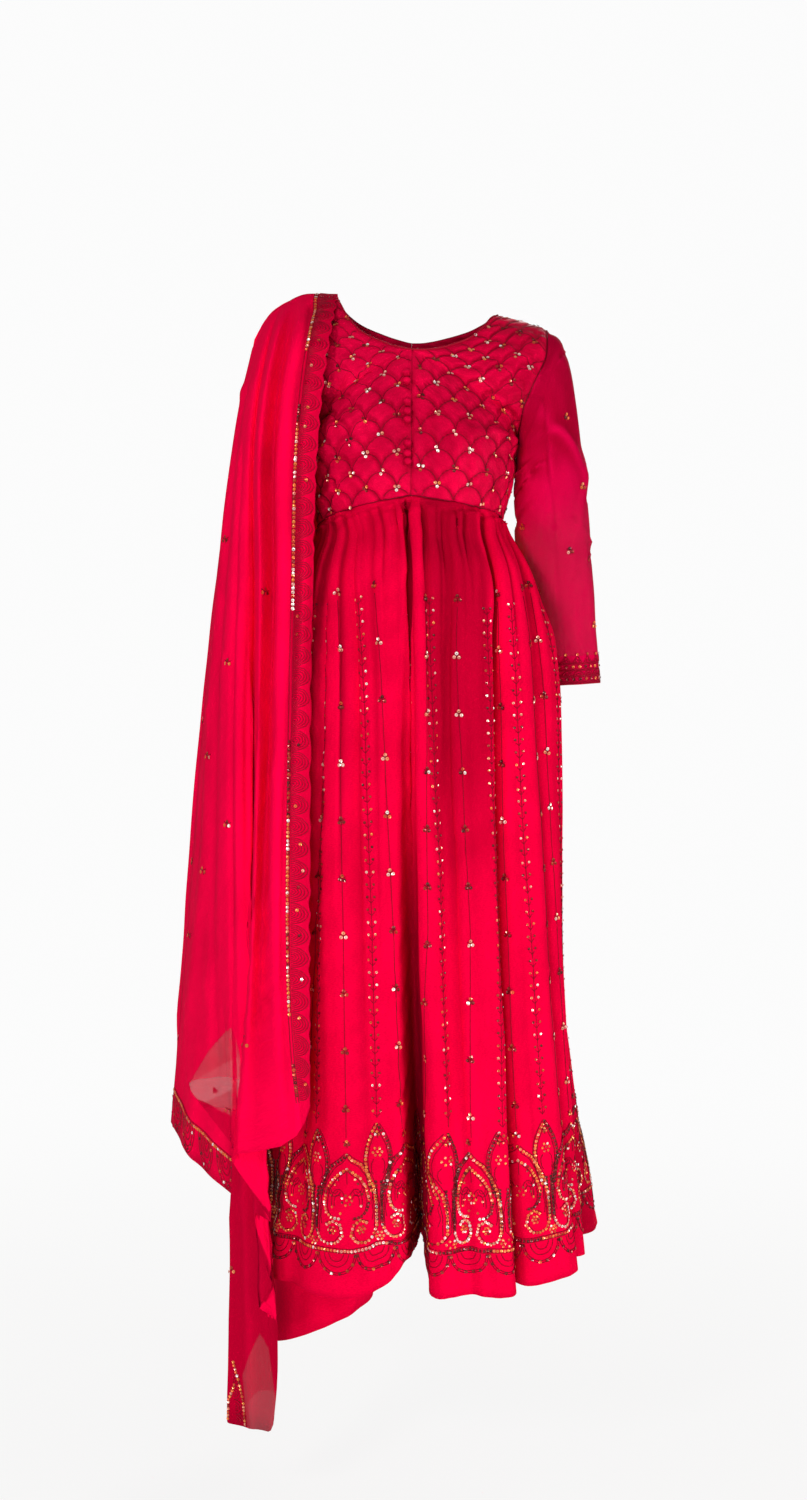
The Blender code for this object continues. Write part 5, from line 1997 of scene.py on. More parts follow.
@dataclass
class SkirtWork:
    """The embroidery of the skirt: lines down it, and the border of arches above its hem.

    Args:
        closed: The skirt's grid.
        seed: Seed of the small differences.
        pitch: Distance between two lines along the hem, where the tables give none.
    """

    closed: ClothGrid
    seed: int = 17
    pitch: float = 0.038
    grid: ClothGrid = field(init=False)
    normals: Array = field(init=False)
    lift: Array = field(init=False)

    ARCH = ((0.0000, 0.170), (0.0060, 0.164), (0.0167, 0.156), (0.0262, 0.141), (0.0325, 0.124),
            (0.0350, 0.100), (0.0345, 0.077), (0.0300, 0.0665), (0.0215, 0.0625),
            (0.0110, 0.0645), (0.0045, 0.0740), (0.0075, 0.0860), (0.0160, 0.0900),
            (0.0225, 0.0855))
    DROP = ((0.0000, 0.153), (0.0060, 0.149), (0.0150, 0.141), (0.0228, 0.128), (0.0262, 0.112),
            (0.0235, 0.100), (0.0165, 0.094), (0.0090, 0.0935))
    LANCET = ((0.0000, 0.196), (0.0062, 0.187), (0.0122, 0.175), (0.0152, 0.162),
              (0.0145, 0.148), (0.0115, 0.135), (0.0085, 0.121))

    def __post_init__(self) -> None:
        """Unroll the skirt at the middle of its back and place the lines."""
        count = len(self.closed.stations)
        last = int(np.argmin(abs(self.closed.stations - BACK_SEAM)))
        picks = [j % count for j in range(last - count + 1, last + 1)]
        self.grid = self.closed.cut(picks)
        stations = self.grid.stations
        self.grid.stations = np.where(stations > BACK_SEAM + 0.001,
                                      stations - len(SKIRT_FOLDS), stations)
        self.normals = self.closed.normals()[:, picks]
        self.lift = np.clip(self.grid.points[-1, :, 2] - HEM_Z, 0.0, 0.012)

    @property
    def hem_row(self) -> int:
        """The grid row, a hand's breadth over the hem, that the border is spaced along."""
        return int(len(self.grid.points) * 0.955)

    def spot(self, station: Array, offset: Array, height: Array) -> Found:
        """Grid places beside fold stations, at heights above the hem.

        Args:
            station: Fold stations.
            offset: Distances beside them.
            height: Heights above the hem.

        Returns:
            The places, and whether each lies on the skirt.
        """
        stations, places = self.grid.stations, np.arange(len(self.grid.stations))
        levels = self.grid.points[..., 2]
        start = np.interp(station, stations, places)
        rows, columns = np.empty_like(start), np.empty_like(start)
        inside = np.ones(len(start), dtype=bool)
        ladder = np.arange(len(levels))
        for n, (column, shift, up) in enumerate(zip(start, offset, height)):
            for _ in range(2):
                j = min(int(round(column)), len(stations) - 1)
                level = HEM_Z + up + self.lift[j]
                row = float(np.interp(-level, -levels[:, j], ladder))
                line = self.grid.across[int(round(row))]
                column = float(np.interp(np.interp(start[n], places, line) + shift, line, places))
            rows[n], columns[n] = row, column
            inside[n] = level > levels[-1, j] + 0.003 and 0.5 < column < len(stations) - 1.5
        return Found(rows, columns, inside)

    def lines(self) -> list[SkirtLine]:
        """All the lines round the skirt, from the middle of the back round to it again.

        Returns:
            The lines in their order.
        """
        along = self.grid.across[self.hem_row]
        stations = self.grid.stations
        found = list(SKIRT_LINES)
        for way in (-1, 1):
            edge = found[0] if way < 0 else found[-1]
            while True:
                at = np.interp(edge.hem, stations, along) + way * self.pitch
                if not along[0] + 0.006 < at < along[-1] - 0.006:
                    break
                station = float(np.interp(at, along, stations))
                stitch = Stitch.STEM if edge.stitch is Stitch.CLUSTERS else Stitch.CLUSTERS
                edge = SkirtLine(stitch, station, station, station)
                found.insert(0, edge) if way < 0 else found.append(edge)
        return found

    def embroider(self, sequins: SequinWork, threads: ThreadWork,
                  hem_sequins: SequinWork, hem_threads: ThreadWork) -> None:
        """Work the lines and the border.

        Args:
            sequins: Gathers the sequins.
            threads: Gathers the threads.
            hem_sequins: Gathers the sequins of the hem's border.
            hem_threads: Gathers the threads of the hem's border.
        """
        draw = np.random.default_rng(self.seed)
        lines = self.lines()
        for line in lines:
            def beside(x: Array, y: Array, line: SkirtLine = line) -> Found:
                """Grid places beside one line of embroidery."""
                station = np.interp(y, (0.06, 0.44, 0.84), (line.hem, line.knee, line.hip))
                return self.spot(station, x, y)
            canvas = Canvas(self.grid, self.normals, beside, sequins, threads, draw)
            if line.stitch is Stitch.CLUSTERS:
                self.clusters(canvas, 0.846 - draw.uniform(0, 0.014))
            else:
                self.stem(canvas, 0.838 - draw.uniform(0, 0.014))
        along = self.grid.across[self.hem_row]
        reach = [float(np.interp(line.hem, self.grid.stations, along)) for line in lines]
        for n, line in enumerate(lines):
            if 0 < n < len(lines) - 1:
                def between(x: Array, y: Array, n: int = n) -> Found:
                    """Grid places of one arch, which spreads to the lines on either side.

                    Args:
                        x: Places across the cloth.
                        y: Places up the cloth.
                        n: Number of the line in the middle of the arch.

                    Returns:
                        The places.
                    """
                    at = np.interp(x, self.pitch * np.arange(-2, 3),
                                   (2 * reach[n - 1] - reach[n], reach[n - 1], reach[n],
                                    reach[n + 1], 2 * reach[n + 1] - reach[n]))
                    station = np.interp(at, along, self.grid.stations)
                    return self.spot(station, np.zeros_like(at), y)
                canvas = Canvas(self.grid, self.normals, between, hem_sequins, hem_threads, draw)
                if line.stitch is Stitch.CLUSTERS:
                    self.arch(canvas)
                else:
                    self.lancet(canvas)

        def along_hem(x: Array, y: Array) -> Found:
            """Grid places along the whole hem."""
            return self.spot(np.interp(x, along, self.grid.stations), np.zeros_like(x), y)
        canvas = Canvas(self.grid, self.normals, along_hem, hem_sequins, hem_threads, draw)
        self.edging(canvas, float(along[-1]))

    def clusters(self, canvas: Canvas, top: float) -> None:
        """A thread with a cluster of three sequins every seven centimetres.

        Args:
            canvas: The stretch of cloth to work on.
            top: Height of its upper end above the hem.
        """
        for up in np.arange(top, 0.185, -0.0690):
            canvas.cluster(0.0, up, Tone.DULL if canvas.draw.random() < 0.6 else Tone.ROSE)
        canvas.thread([0.0, 0.0], [top - 0.01, 0.19], step=0.010)

    def stem(self, canvas: Canvas, top: float) -> None:
        """A thread with pairs of sequins and small thorns.

        Args:
            canvas: The stretch of cloth to work on.
            top: Height of its upper end above the hem.
        """
        for up in np.arange(top, 0.210, -0.0150):
            tone = Tone.ROSE if canvas.draw.random() < 0.20 + 0.5 * (up - 0.2) else Tone.DULL
            canvas.dots([-0.0044, 0.0044], [up, up], tone, 0.74)
            for side in (-1, 1):
                canvas.thread([0.0, side * 0.0038], [up - 0.0075, up - 0.0035], step=0.003)
        canvas.thread([0.0, 0.0], [top, 0.204], step=0.010)

    def arch(self, canvas: Canvas) -> None:
        """The large pointed arch with its scrolls, and the drop inside it.

        Args:
            canvas: The stretch of cloth to work on.
        """
        draw = canvas.draw
        for side in (-1, 1):
            x, y = np.array(self.ARCH).T
            upper, lower = slice(0, 7), slice(6, len(x))
            # painted reflection: one side of each arch's outline is gold and the other dark
            canvas.string(side * x[upper], y[upper], Tone.GOLD if side > 0 else Tone.DARK)
            canvas.string(side * x[lower], y[lower], Tone.GOLD if draw.random() < 0.6
                          else Tone.ROSE)
            canvas.thread(side * (x + 0.0026), y + 0.001)
            canvas.thread(side * np.maximum(x[:7] - 0.0028, 0), y[:7] - 0.002)
            x, y = np.array(self.DROP).T
            canvas.string(side * x[:5], y[:5], Tone.GOLD if side > 0 else Tone.MIXED)
            canvas.string(side * x[4:], y[4:], Tone.DARK if side > 0 else Tone.ROSE)
            canvas.thread(side * np.maximum(x - 0.0028, 0), y - 0.001)
            canvas.rosette(side * 0.0165, 0.0790, 0.0040, Tone.COPPER if side > 0 else Tone.MIXED)
            for size in (0.010, 0.006):
                canvas.arc(side * 0.010, 0.112, side * size * 0.8, size * 1.7, -0.4, 2.6, 9)
                canvas.arc(side * 0.0140, 0.128, -side * size * 0.7, -size * 0.9, 0.3, 3.4, 9)
            spots = np.array(((0.013, 0.134), (0.018, 0.121), (0.0165, 0.107), (0.007, 0.100),
                              (0.0095, 0.140), (0.0135, 0.114)))
            keep = draw.random(len(spots)) < 0.75
            canvas.dots(side * spots[keep, 0], spots[keep, 1], Tone.MIXED, 0.72)
            canvas.thread(side * np.array([0.029, 0.031, 0.029, 0.031, 0.029]),
                          np.array([0.126, 0.117, 0.107, 0.096, 0.086]))
        canvas.rosette(0.0, 0.1160, 0.0058, Tone.MIXED, 7)
        canvas.cluster(0.0, 0.1835, Tone.COPPER, 0.0026, 0.85)
        canvas.thread([0.0, 0.0], [0.135, 0.150])

    def lancet(self, canvas: Canvas) -> None:
        """The tall leaf between two arches.

        Args:
            canvas: The stretch of cloth to work on.
        """
        x, y = np.array(self.LANCET).T
        # painted reflection: one side of the leaf is gold and the other dark
        gold = canvas.draw.random() < 0.6
        for side in (-1, 1):
            canvas.string(side * x, y, Tone.GOLD if gold == (side < 0) else Tone.DARK)
            canvas.thread(side * (x + 0.0026), y + 0.001)
            canvas.thread(side * np.maximum(x - 0.0028, 0), y - 0.002)
            canvas.string([side * 0.0030, side * 0.0030], [0.128, 0.084], Tone.DARK)
            canvas.arc(side * 0.0050, 0.147, side * 0.0030, 0.009, -1.4, 1.6, 7)
        canvas.rosette(0.0, 0.1640, 0.0050, Tone.GOLD)
        canvas.rosette(0.0, 0.0640, 0.0044, Tone.GOLD)
        canvas.cluster(0.0, 0.1850, Tone.COPPER, 0.0022, 0.72)

    def edging(self, canvas: Canvas, width: float) -> None:
        """The base line of the border and the scallops under it.

        Args:
            canvas: The stretch of cloth to work on.
            width: Length of the hem.
        """
        # painted reflection: runs of gold and dark sequins along the base line
        start, tones = 0.0, (Tone.GOLD, Tone.DARK, Tone.GOLD, Tone.ROSE, Tone.DARK)
        n = 0
        while start < width:
            run = canvas.draw.uniform(0.030, 0.075)
            end = min(start + run, width)
            canvas.string([start, end - 0.004], [0.0550, 0.0550], tones[n % len(tones)])
            start, n = end, n + 1
        for level in (0.0525, 0.0575):
            canvas.thread([0.0, width], [level, level], step=0.006)
        pitch = 0.0507
        for n in range(int(width / pitch)):
            middle = (n + 0.5) * pitch
            for size in (1.0, 0.90, 0.62, 0.38):
                canvas.arc(middle, 0.0510, pitch / 2 * size, -0.0250 * size,
                           count=max(5, int(15 * size)))
            turn = np.linspace(0.08, math.pi - 0.08, 8)
            canvas.dots(middle + np.cos(turn) * pitch * 0.475, 0.0510 - np.sin(turn) * 0.0238,
                        Tone.DULL, 0.92)


# ----- salwar ----------------------------------------------------------------------------------
class LegRing(NamedTuple):
    """A ring of one leg of the salwar."""

    z: float
    mid_x: float
    half_width: float
    mid_y: float
    half_depth: float


LEG_TOP = (
    (-0.3603, 0.000, 0.1080, 0.004, 0.084),
    (-0.4200, 0.010, 0.1180, 0.000, 0.088),
    (-0.5000, 0.030, 0.1160, 0.002, 0.094),
    (-0.5800, 0.058, 0.0880, 0.002, 0.090),
    (-0.6300, 0.0730, 0.0727, 0.002, 0.086),
)
LEFT_LEG = LEG_TOP + (
    (-0.8000, 0.0730, 0.0700, 0.010, 0.076),
    (-1.0000, 0.0690, 0.0600, 0.018, 0.062),
    (-1.1600, 0.0660, 0.0560, 0.022, 0.056),
)
RIGHT_LEG = LEG_TOP + (
    (-0.8000, 0.0850, 0.0720, 0.006, 0.080),
    (-1.0000, 0.0995, 0.0635, 0.000, 0.066),
    (-1.2840, 0.1210, 0.0670, -0.006, 0.060),
)
HEM_SLANT = 0.40         # the right leg drops this much per metre towards its outer side
SLANT_START, SLANT_REACH = -1.0, 0.274
WAISTBAND_TOP, WAISTBAND_FOOT = -0.328, -0.3600


@dataclass
class Salwar:
    """Two trouser legs and the waistband that they hang from."""

    rows: int = 84
    columns: int = 57

    def leg(self, table: Sequence, right: bool) -> ClothGrid:
        """Grid of one leg, open down the middle seam and then round to the inseam.

        Args:
            table: Rings of the leg.
            right: Whether it is the wearer's right one.

        Returns:
            The leg's grid.
        """
        grid = []
        for ring in map(LegRing._make, spline(table, np.linspace(0, len(table) - 1, self.rows))):
            reach = min(0.9999, (ring.mid_x - 2 * SEAM_GAP) / ring.half_width)
            start = -math.asin(reach)
            angles = np.linspace(start, math.pi - start, self.columns)
            line = np.stack([ring.mid_x + ring.half_width * np.sin(angles),
                             ring.mid_y - ring.half_depth * np.cos(angles),
                             np.full(self.columns, ring.z)], axis=1)
            share = max(0.0, (SLANT_START - ring.z) / SLANT_REACH) if right else 0.0
            line[:, 2] -= share * HEM_SLANT * (line[:, 0] - ring.mid_x)
            if right:
                line = line[::-1] * np.array([-1.0, 1.0, 1.0])
            grid.append(line)
        return ClothGrid(np.array(grid), np.linspace(0, 1, self.columns))

    def build(self) -> list[Piece]:
        """Build the legs and the waistband.

        Returns:
            The legs and the waistband.
        """
        pieces = []
        for half, table in ((Half.LEFT, LEFT_LEG), (Half.RIGHT, RIGHT_LEG)):
            grid = self.leg(table, half is Half.RIGHT)
            grid.press(LEG_CREASES)
            grid.ripple(0.045, 0.0030, 31 if half is Half.LEFT else 37, 1.5)
            grid.measure()
            piece = shell(f"Crepe_salwar_leg_{half.value}", grid, WALL)
            # painted shade in the folds
            paint(piece, "hollow", grid.hollows(0.020))
            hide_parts(f"salwar_leg_{half.value}")
            pieces.append(piece)
        pieces.append(self.waistband())
        return pieces

    def waistband(self) -> Piece:
        """Build the waistband, gathered on its drawstring.

        Returns:
            The new piece.
        """
        top = LegRing._make(LEFT_LEG[0])
        steps = 160
        angles = np.linspace(0, 2 * math.pi, steps, endpoint=False)
        lines = []
        for z in np.linspace(WAISTBAND_TOP, WAISTBAND_FOOT, 9):
            bulge = 0.0004 + 0.0008 * math.sin(math.pi * (WAISTBAND_TOP - z) / 0.032)
            gather = bulge + 0.0005 * np.sin(angles * 40)
            lines.append(np.stack([(top.half_width + gather) * np.sin(angles),
                                   top.mid_y - (top.half_depth + gather) * np.cos(angles),
                                   np.full(steps, z)], axis=1))
        grid = ClothGrid(np.array(lines), angles, closed=True)
        piece = shell("Crepe_salwar_waistband", grid, 0.0020)
        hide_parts("salwar_waistband")
        return piece


LEG_CREASES = (
    (0.30, 1.0, 0.22, 0.25, 0.012, 0.0040),
    (0.45, 1.0, 0.34, 0.40, 0.010, -0.0040),
    (0.25, 0.9, 0.55, 0.58, 0.014, 0.0050),
    (0.50, 1.0, 0.72, 0.68, 0.010, -0.0040),
    (0.40, 1.0, 0.86, 0.84, 0.012, 0.0035),
)


# ----- dupatta ---------------------------------------------------------------------------------
class DupattaFold(NamedTuple):
    """One fold line of the dupatta: its place at each level and its lower end."""

    name: str
    ridge: float
    chest_x: float
    chest_y: float
    waist_x: float
    waist_y: float
    knee_x: float
    knee_y: float
    hem_x: float
    hem_y: float
    hem_z: float


DUPATTA_LEVELS = (("chest", -0.115), ("waist", -0.365), ("knee", -0.730))
DUPATTA_FRONT = (
    ("side line", 1.00, -0.2245, 0.020, -0.261, 0.030, -0.2910, 0.035, -0.321, 0.050, -1.045),
    ("outer edge", 0.93, -0.2235, 0.004, -0.255, 0.000, -0.279, -0.015, -0.301, 0.000, -1.064),
    ("outer fall", 0.87, -0.220, -0.010, -0.247, -0.028, -0.262, -0.055, -0.263, -0.055, -1.078),
    ("tail left", 0.81, -0.217, -0.022, -0.239, -0.050, -0.247, -0.085, -0.220, -0.105, -1.098),
    ("tail edge", 0.76, -0.214, -0.035, -0.230, -0.068, -0.232, -0.108, -0.219, -0.115, -1.273),
    ("tail tip", 0.71, -0.210, -0.045, -0.221, -0.080, -0.221, -0.122, -0.234, -0.125, -1.382),
    ("tail corner", 0.66, -0.206, -0.055, -0.212, -0.085, -0.211, -0.130, -0.174, -0.150, -1.375),
    ("tail turn", 0.61, -0.202, -0.060, -0.206, -0.083, -0.202, -0.128, -0.163, -0.160, -1.250),
    ("fall inner", 0.57, -0.199, -0.059, -0.202, -0.078, -0.203, -0.128, -0.200, -0.168, -1.109),
    ("deep valley", 0.53, -0.196, -0.060, -0.199, -0.075, -0.200, -0.127, -0.184, -0.178, -1.088),
    ("middle ridge", 0.43, -0.187, -0.095, -0.190, -0.117, -0.195, -0.165, -0.216, -0.198, -1.028),
    ("middle valley", 0.33, -0.171, -0.078, -0.174, -0.097, -0.184, -0.152, -0.195, -0.204,
     -1.020),
    ("front ridge", 0.23, -0.162, -0.104, -0.166, -0.131, -0.171, -0.188, -0.1705, -0.216, -1.013),
    ("band inner", 0.12, -0.1365, -0.105, -0.139, -0.133, -0.154, -0.193, -0.146, -0.222, -1.000),
    ("band outer", 0.00, -0.116, -0.100, -0.126, -0.126, -0.1275, -0.186, -0.1315, -0.216, -0.993),
)
DUPATTA_BACK = (
    ("back band outer", 0.00, -0.088, 0.100, -0.078, 0.146, -0.090, 0.214, -0.095, 0.262, -1.250),
    ("back band inner", 0.16, -0.118, 0.106, -0.110, 0.152, -0.125, 0.220, -0.130, 0.270, -1.262),
    ("back valley", 0.36, -0.150, 0.100, -0.150, 0.146, -0.170, 0.206, -0.180, 0.252, -1.290),
    ("back ridge", 0.56, -0.178, 0.094, -0.190, 0.152, -0.214, 0.210, -0.212, 0.252, -1.310),
    ("back corner", 0.74, -0.203, 0.080, -0.234, 0.138, -0.268, 0.176, -0.268, 0.205, -1.110),
    ("back outer", 0.88, -0.218, 0.048, -0.259, 0.090, -0.297, 0.108, -0.317, 0.122, -1.075),
    ("side line", 1.00, -0.2245, 0.020, -0.261, 0.030, -0.2910, 0.035, -0.321, 0.050, -1.045),
)
RIDGE_LINE = ((-0.0985, 0.0, 0.0272), (-0.1400, 0.0, 0.0262), (-0.1705, 0.0, 0.0125),
              (-0.1900, 0.002, -0.0040), (-0.2045, 0.004, -0.0300))
SHOULDER_DROP = 0.38     # where the cloth rounds the shoulder: share of the fall to the chest
SHOULDER_REACH = 0.70    # and share of the way out to the chest fold
FRONT_EDGE = (           # the lower edge of the front stretch: station, x, y, z
    (0.0, -0.3210, 0.050, -1.045), (1.0, -0.3010, 0.000, -1.064),
    (1.5, -0.2860, -0.026, -1.076), (2.0, -0.2630, -0.055, -1.088),
    (3.0, -0.2200, -0.105, -1.108), (4.0, -0.2190, -0.115, -1.273),
    (4.5, -0.2160, -0.118, -1.300), (4.9, -0.2330, -0.124, -1.376),
    (5.1, -0.2320, -0.126, -1.381), (5.9, -0.1780, -0.148, -1.384),
    (6.1, -0.1730, -0.150, -1.372), (6.5, -0.1680, -0.153, -1.300),
    (6.7, -0.1690, -0.154, -1.242), (7.0, -0.1910, -0.157, -1.228),
    (7.3, -0.1720, -0.164, -1.200), (7.7, -0.1940, -0.167, -1.129),
    (7.9, -0.1960, -0.170, -1.106), (8.2, -0.1745, -0.178, -1.116),
    (8.5, -0.1900, -0.180, -1.090), (9.0, -0.2080, -0.185, -1.061),
    (9.5, -0.2210, -0.192, -1.037), (9.9, -0.2140, -0.197, -1.030),
    (11.0, -0.1900, -0.204, -1.025), (12.0, -0.1600, -0.216, -1.016),
    (13.0, -0.1410, -0.221, -1.002), (13.6, -0.1310, -0.220, -0.986),
    (14.0, -0.1255, -0.216, -0.970),
)
SHEER_FALL = ((-0.3010, -0.9780), (-0.2600, -0.9280), (-0.2426, -0.8990), (-0.2250, -0.8900),
              (-0.2140, -0.9050), (-0.2110, -1.0450), (-0.2260, -1.0420), (-0.2600, -1.0140))
SHEER_STRIPE = ((-0.3010, -0.9780), (-0.2050, -0.9450), (-0.2050, -0.9880), (-0.2740, -1.0080))
SHEER_TAIL = ((-0.2150, -1.3110), (-0.1900, -1.2580), (-0.1810, -1.2620), (-0.1600, -1.4100),
              (-0.2060, -1.4100))
RUFFLES = (              # the sides of the ruffles that face the light
    ((-0.2252, -1.0384), (-0.1620, -1.0219), (-0.1685, -1.1070), (-0.1840, -1.0988)),
    ((-0.1987, -1.1100), (-0.1944, -1.1290), (-0.1691, -1.2003), (-0.1600, -1.1150)),
    ((-0.1944, -1.2278), (-0.1650, -1.1979), (-0.1600, -1.2470), (-0.1894, -1.2414)),
)
SHEER_FOOT = ((-0.2080, -1.3350), (-0.1600, -1.3290), (-0.1600, -1.4100), (-0.2020, -1.4100))


def patch(x: Array, z: Array, corners: Sequence[tuple[float, float]]) -> Array:
    """How far inside a convex patch each spot lies, in metres, negative outside.

    Args:
        x: Across.
        z: Height.
        corners: Corners of the patch, in turn.

    Returns:
        One distance per spot.
    """
    inside = None
    for turn in (1, -1):
        nearest = np.full(x.shape, np.inf)
        for (ax, az), (bx, bz) in zip(corners, list(corners[1:]) + [corners[0]]):
            length = math.hypot(bx - ax, bz - az)
            side = ((bx - ax) * (z - az) - (bz - az) * (x - ax)) / length
            nearest = np.minimum(nearest, side * turn)
        inside = nearest if inside is None else np.maximum(inside, nearest)
    return inside


@dataclass
class Dupatta:
    """The sheer dupatta over the right shoulder, a front and a back stretch.

    Args:
        rows: Grid rows.
        scallop: Length of one scallop of the edge.
    """

    rows: int = 112
    scallop: float = 0.026
    grids: dict[Face, ClothGrid] = field(default_factory=dict)

    CLUSTERS = ((-0.240, -0.286), (-0.185, -0.356), (-0.233, -0.442), (-0.232, -0.642),
                (-0.292, -0.794), (-0.232, -0.997), (-0.262, -0.560), (-0.205, -0.900),
                (-0.250, -0.150), (-0.268, -0.705), (-0.226, -1.190))

    BACK_SHARE, BACK_DROP = 0.93, 0.0325   # the back's sheer patches are the front's, moved
    TAIL_TOP, TAIL_OPEN, FALL_OPEN = -1.15, 0.17, 0.43
    FOLD_REACH, FOLD_SHADE, TAIL_SHADE = 0.018, 0.50, 0.80
    BAND_WIDTH, BAND_SHADE, FOOT_HEIGHT, FOOT_SHADE = 0.027, 0.45, 0.047, 0.30

    def grid(self, table: Sequence, steps: int, edge: Sequence | None) -> ClothGrid:
        """The plain grid of one stretch.

        Args:
            table: Fold lines of the stretch.
            steps: Grid columns between two fold lines.
            edge: The lower edge, if it has a table of its own.

        Returns:
            The stretch's grid.
        """
        folds = [DupattaFold._make(row) for row in table]
        ridge = spline(RIDGE_LINE, [f.ridge * (len(RIDGE_LINE) - 1) for f in folds])
        levels = [ridge]
        for name, z in DUPATTA_LEVELS:
            levels.append(np.array([[getattr(f, name + "_x"), getattr(f, name + "_y"), z]
                                    for f in folds]))
        share = np.array([SHOULDER_DROP, SHOULDER_REACH, SHOULDER_DROP])
        levels.insert(1, ridge + (levels[1] - ridge) * share)
        levels.append(np.array([[f.hem_x, f.hem_y, f.hem_z] for f in folds]))
        stations = np.linspace(0, len(table) - 1, (len(table) - 1) * steps + 1)
        lines = [spline(level, stations) for level in levels]
        if edge is not None:
            edge = np.array(edge)
            lines[-1] = np.stack([np.interp(stations, edge[:, 0], edge[:, k])
                                  for k in (1, 2, 3)], axis=1)
        return ClothGrid(fall(np.array(lines), self.rows), stations)

    def build(self) -> list[Piece]:
        """Build both stretches with their folds.

        Returns:
            The two stretches.
        """
        pieces = []
        for face, table, steps, edges in ((Face.FRONT, DUPATTA_FRONT, 15, "tf"),
                                          (Face.BACK, DUPATTA_BACK, 26, "tl")):
            front = face is Face.FRONT
            grid = self.grid(table, steps, FRONT_EDGE if front else None)
            if front:
                self.smooth(grid)
            grid.press(DUPATTA_CREASES[face])
            grid.measure()
            grid.pull(DUPATTA_DRAGS[face])
            grid.ripple(0.048, 0.0018, 41 if front else 43, 3.0)
            grid.points = trim(grid.points, edges)
            grid.measure()
            self.wave(grid, -1 if front else 0)
            lean = -1 if front else 1
            column = 0 if front else -1
            grid.points[0, :, 1] += lean * 3 * SEAM_GAP
            grid.points[:, column, 1] += lean * 3 * SEAM_GAP
            self.grids[face] = grid
            piece = shell(f"Chiffon_dupatta_{face.value}", grid, SHEER_WALL)
            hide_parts(f"dupatta_{face.value}")
            self.thin(piece, grid, front)
            beside = self.beside(grid, front)
            band = smooth_step((self.BAND_WIDTH - beside) / 0.003)
            tail = smooth_step((-1.00 - grid.points[..., 2]) / 0.06) * smooth_step(
                (9.6 - grid.stations) / 1.2) * smooth_step((grid.stations - 2.6) / 0.6)
            folds = grid.hollows(self.FOLD_REACH)
            if front:
                upper = smooth_step((0.66 - np.linspace(0, 1, self.rows)[:, None]) / 0.1)
                folds = folds * (1.0 - upper * smooth_step((8.0 - grid.stations) / 1.5))
            foot = smooth_step((self.FOOT_HEIGHT - grid.down[-1] + grid.down) / 0.003) * (
                grid.stations < 3.1)[None, :] * front
            paint(piece, "hollow", self.FOLD_SHADE * folds * (1 - 0.5 * tail)
                  + self.BAND_SHADE * band + self.TAIL_SHADE * tail + self.FOOT_SHADE * foot)
            pieces.append(piece)
        return pieces

    def beside(self, grid: ClothGrid, front: bool) -> Array:
        """Distance of every grid point from the cloth's long edge."""
        return grid.across[:, -1:] - grid.across if front else grid.across

    def smooth(self, grid: ClothGrid) -> None:
        """Let the outer fall hang broad and smooth down to the level where it folds.

        Args:
            grid: The cloth.
        """
        half = 16
        kernel = np.hanning(2 * half + 3)[1:-1]
        wide = np.pad(grid.points, ((0, 0), (half, half), (0, 0)), mode="reflect",
                      reflect_type="odd")
        mean = np.stack([[np.convolve(line, kernel / kernel.sum(), mode="valid")
                          for line in wide[..., axis]] for axis in range(3)], axis=-1)
        rows = np.linspace(0.0, 1.0, self.rows)[:, None]
        share = (smooth_step(grid.stations / 0.8) * smooth_step((5.6 - grid.stations) / 1.2)
                 * smooth_step((0.86 - rows) / 0.10))
        grid.points = grid.points + (mean - grid.points) * share[..., None]

    def wave(self, grid: ClothGrid, column: int) -> None:
        """Scallop the long edge of the cloth.

        Args:
            grid: The stretch.
            column: Its first or last column.
        """
        inner = grid.points[:, -4:] if column else grid.points[:, :4]
        out = unit(inner[:, -1] - inner[:, 0]) if column else unit(inner[:, 0] - inner[:, -1])
        down = grid.down[:, column]
        bulge = abs(np.sin(np.pi * down / self.scallop)) * 0.0034 - 0.0010
        for k, share in enumerate((1.0, 0.75, 0.5, 0.25)):
            j = -1 - k if column else k
            grid.points[3:, j] += (out * (bulge * share)[:, None])[3:]

    def thin(self, piece: Piece, grid: ClothGrid, front: bool) -> None:
        """Mark where the cloth lies single, and there how much light passes.

        Args:
            piece: The shell of the stretch.
            grid: The cloth.
            front: Whether it is the front stretch.
        """
        x, z = grid.points[..., 0], grid.points[..., 2]
        if not front:
            x, z = x * self.BACK_SHARE, z * self.BACK_SHARE - self.BACK_DROP
        paint(piece, "lit", np.max([patch(x, z, ruffle) for ruffle in RUFFLES], axis=0))
        paint(piece, "single", np.maximum(patch(x, z, SHEER_FALL), patch(x, z, SHEER_TAIL)))
        paint(piece, "bare", np.maximum(patch(x, z, SHEER_STRIPE), patch(x, z, SHEER_FOOT)))
        paint(piece, "open", np.where(z < self.TAIL_TOP, self.TAIL_OPEN, self.FALL_OPEN))

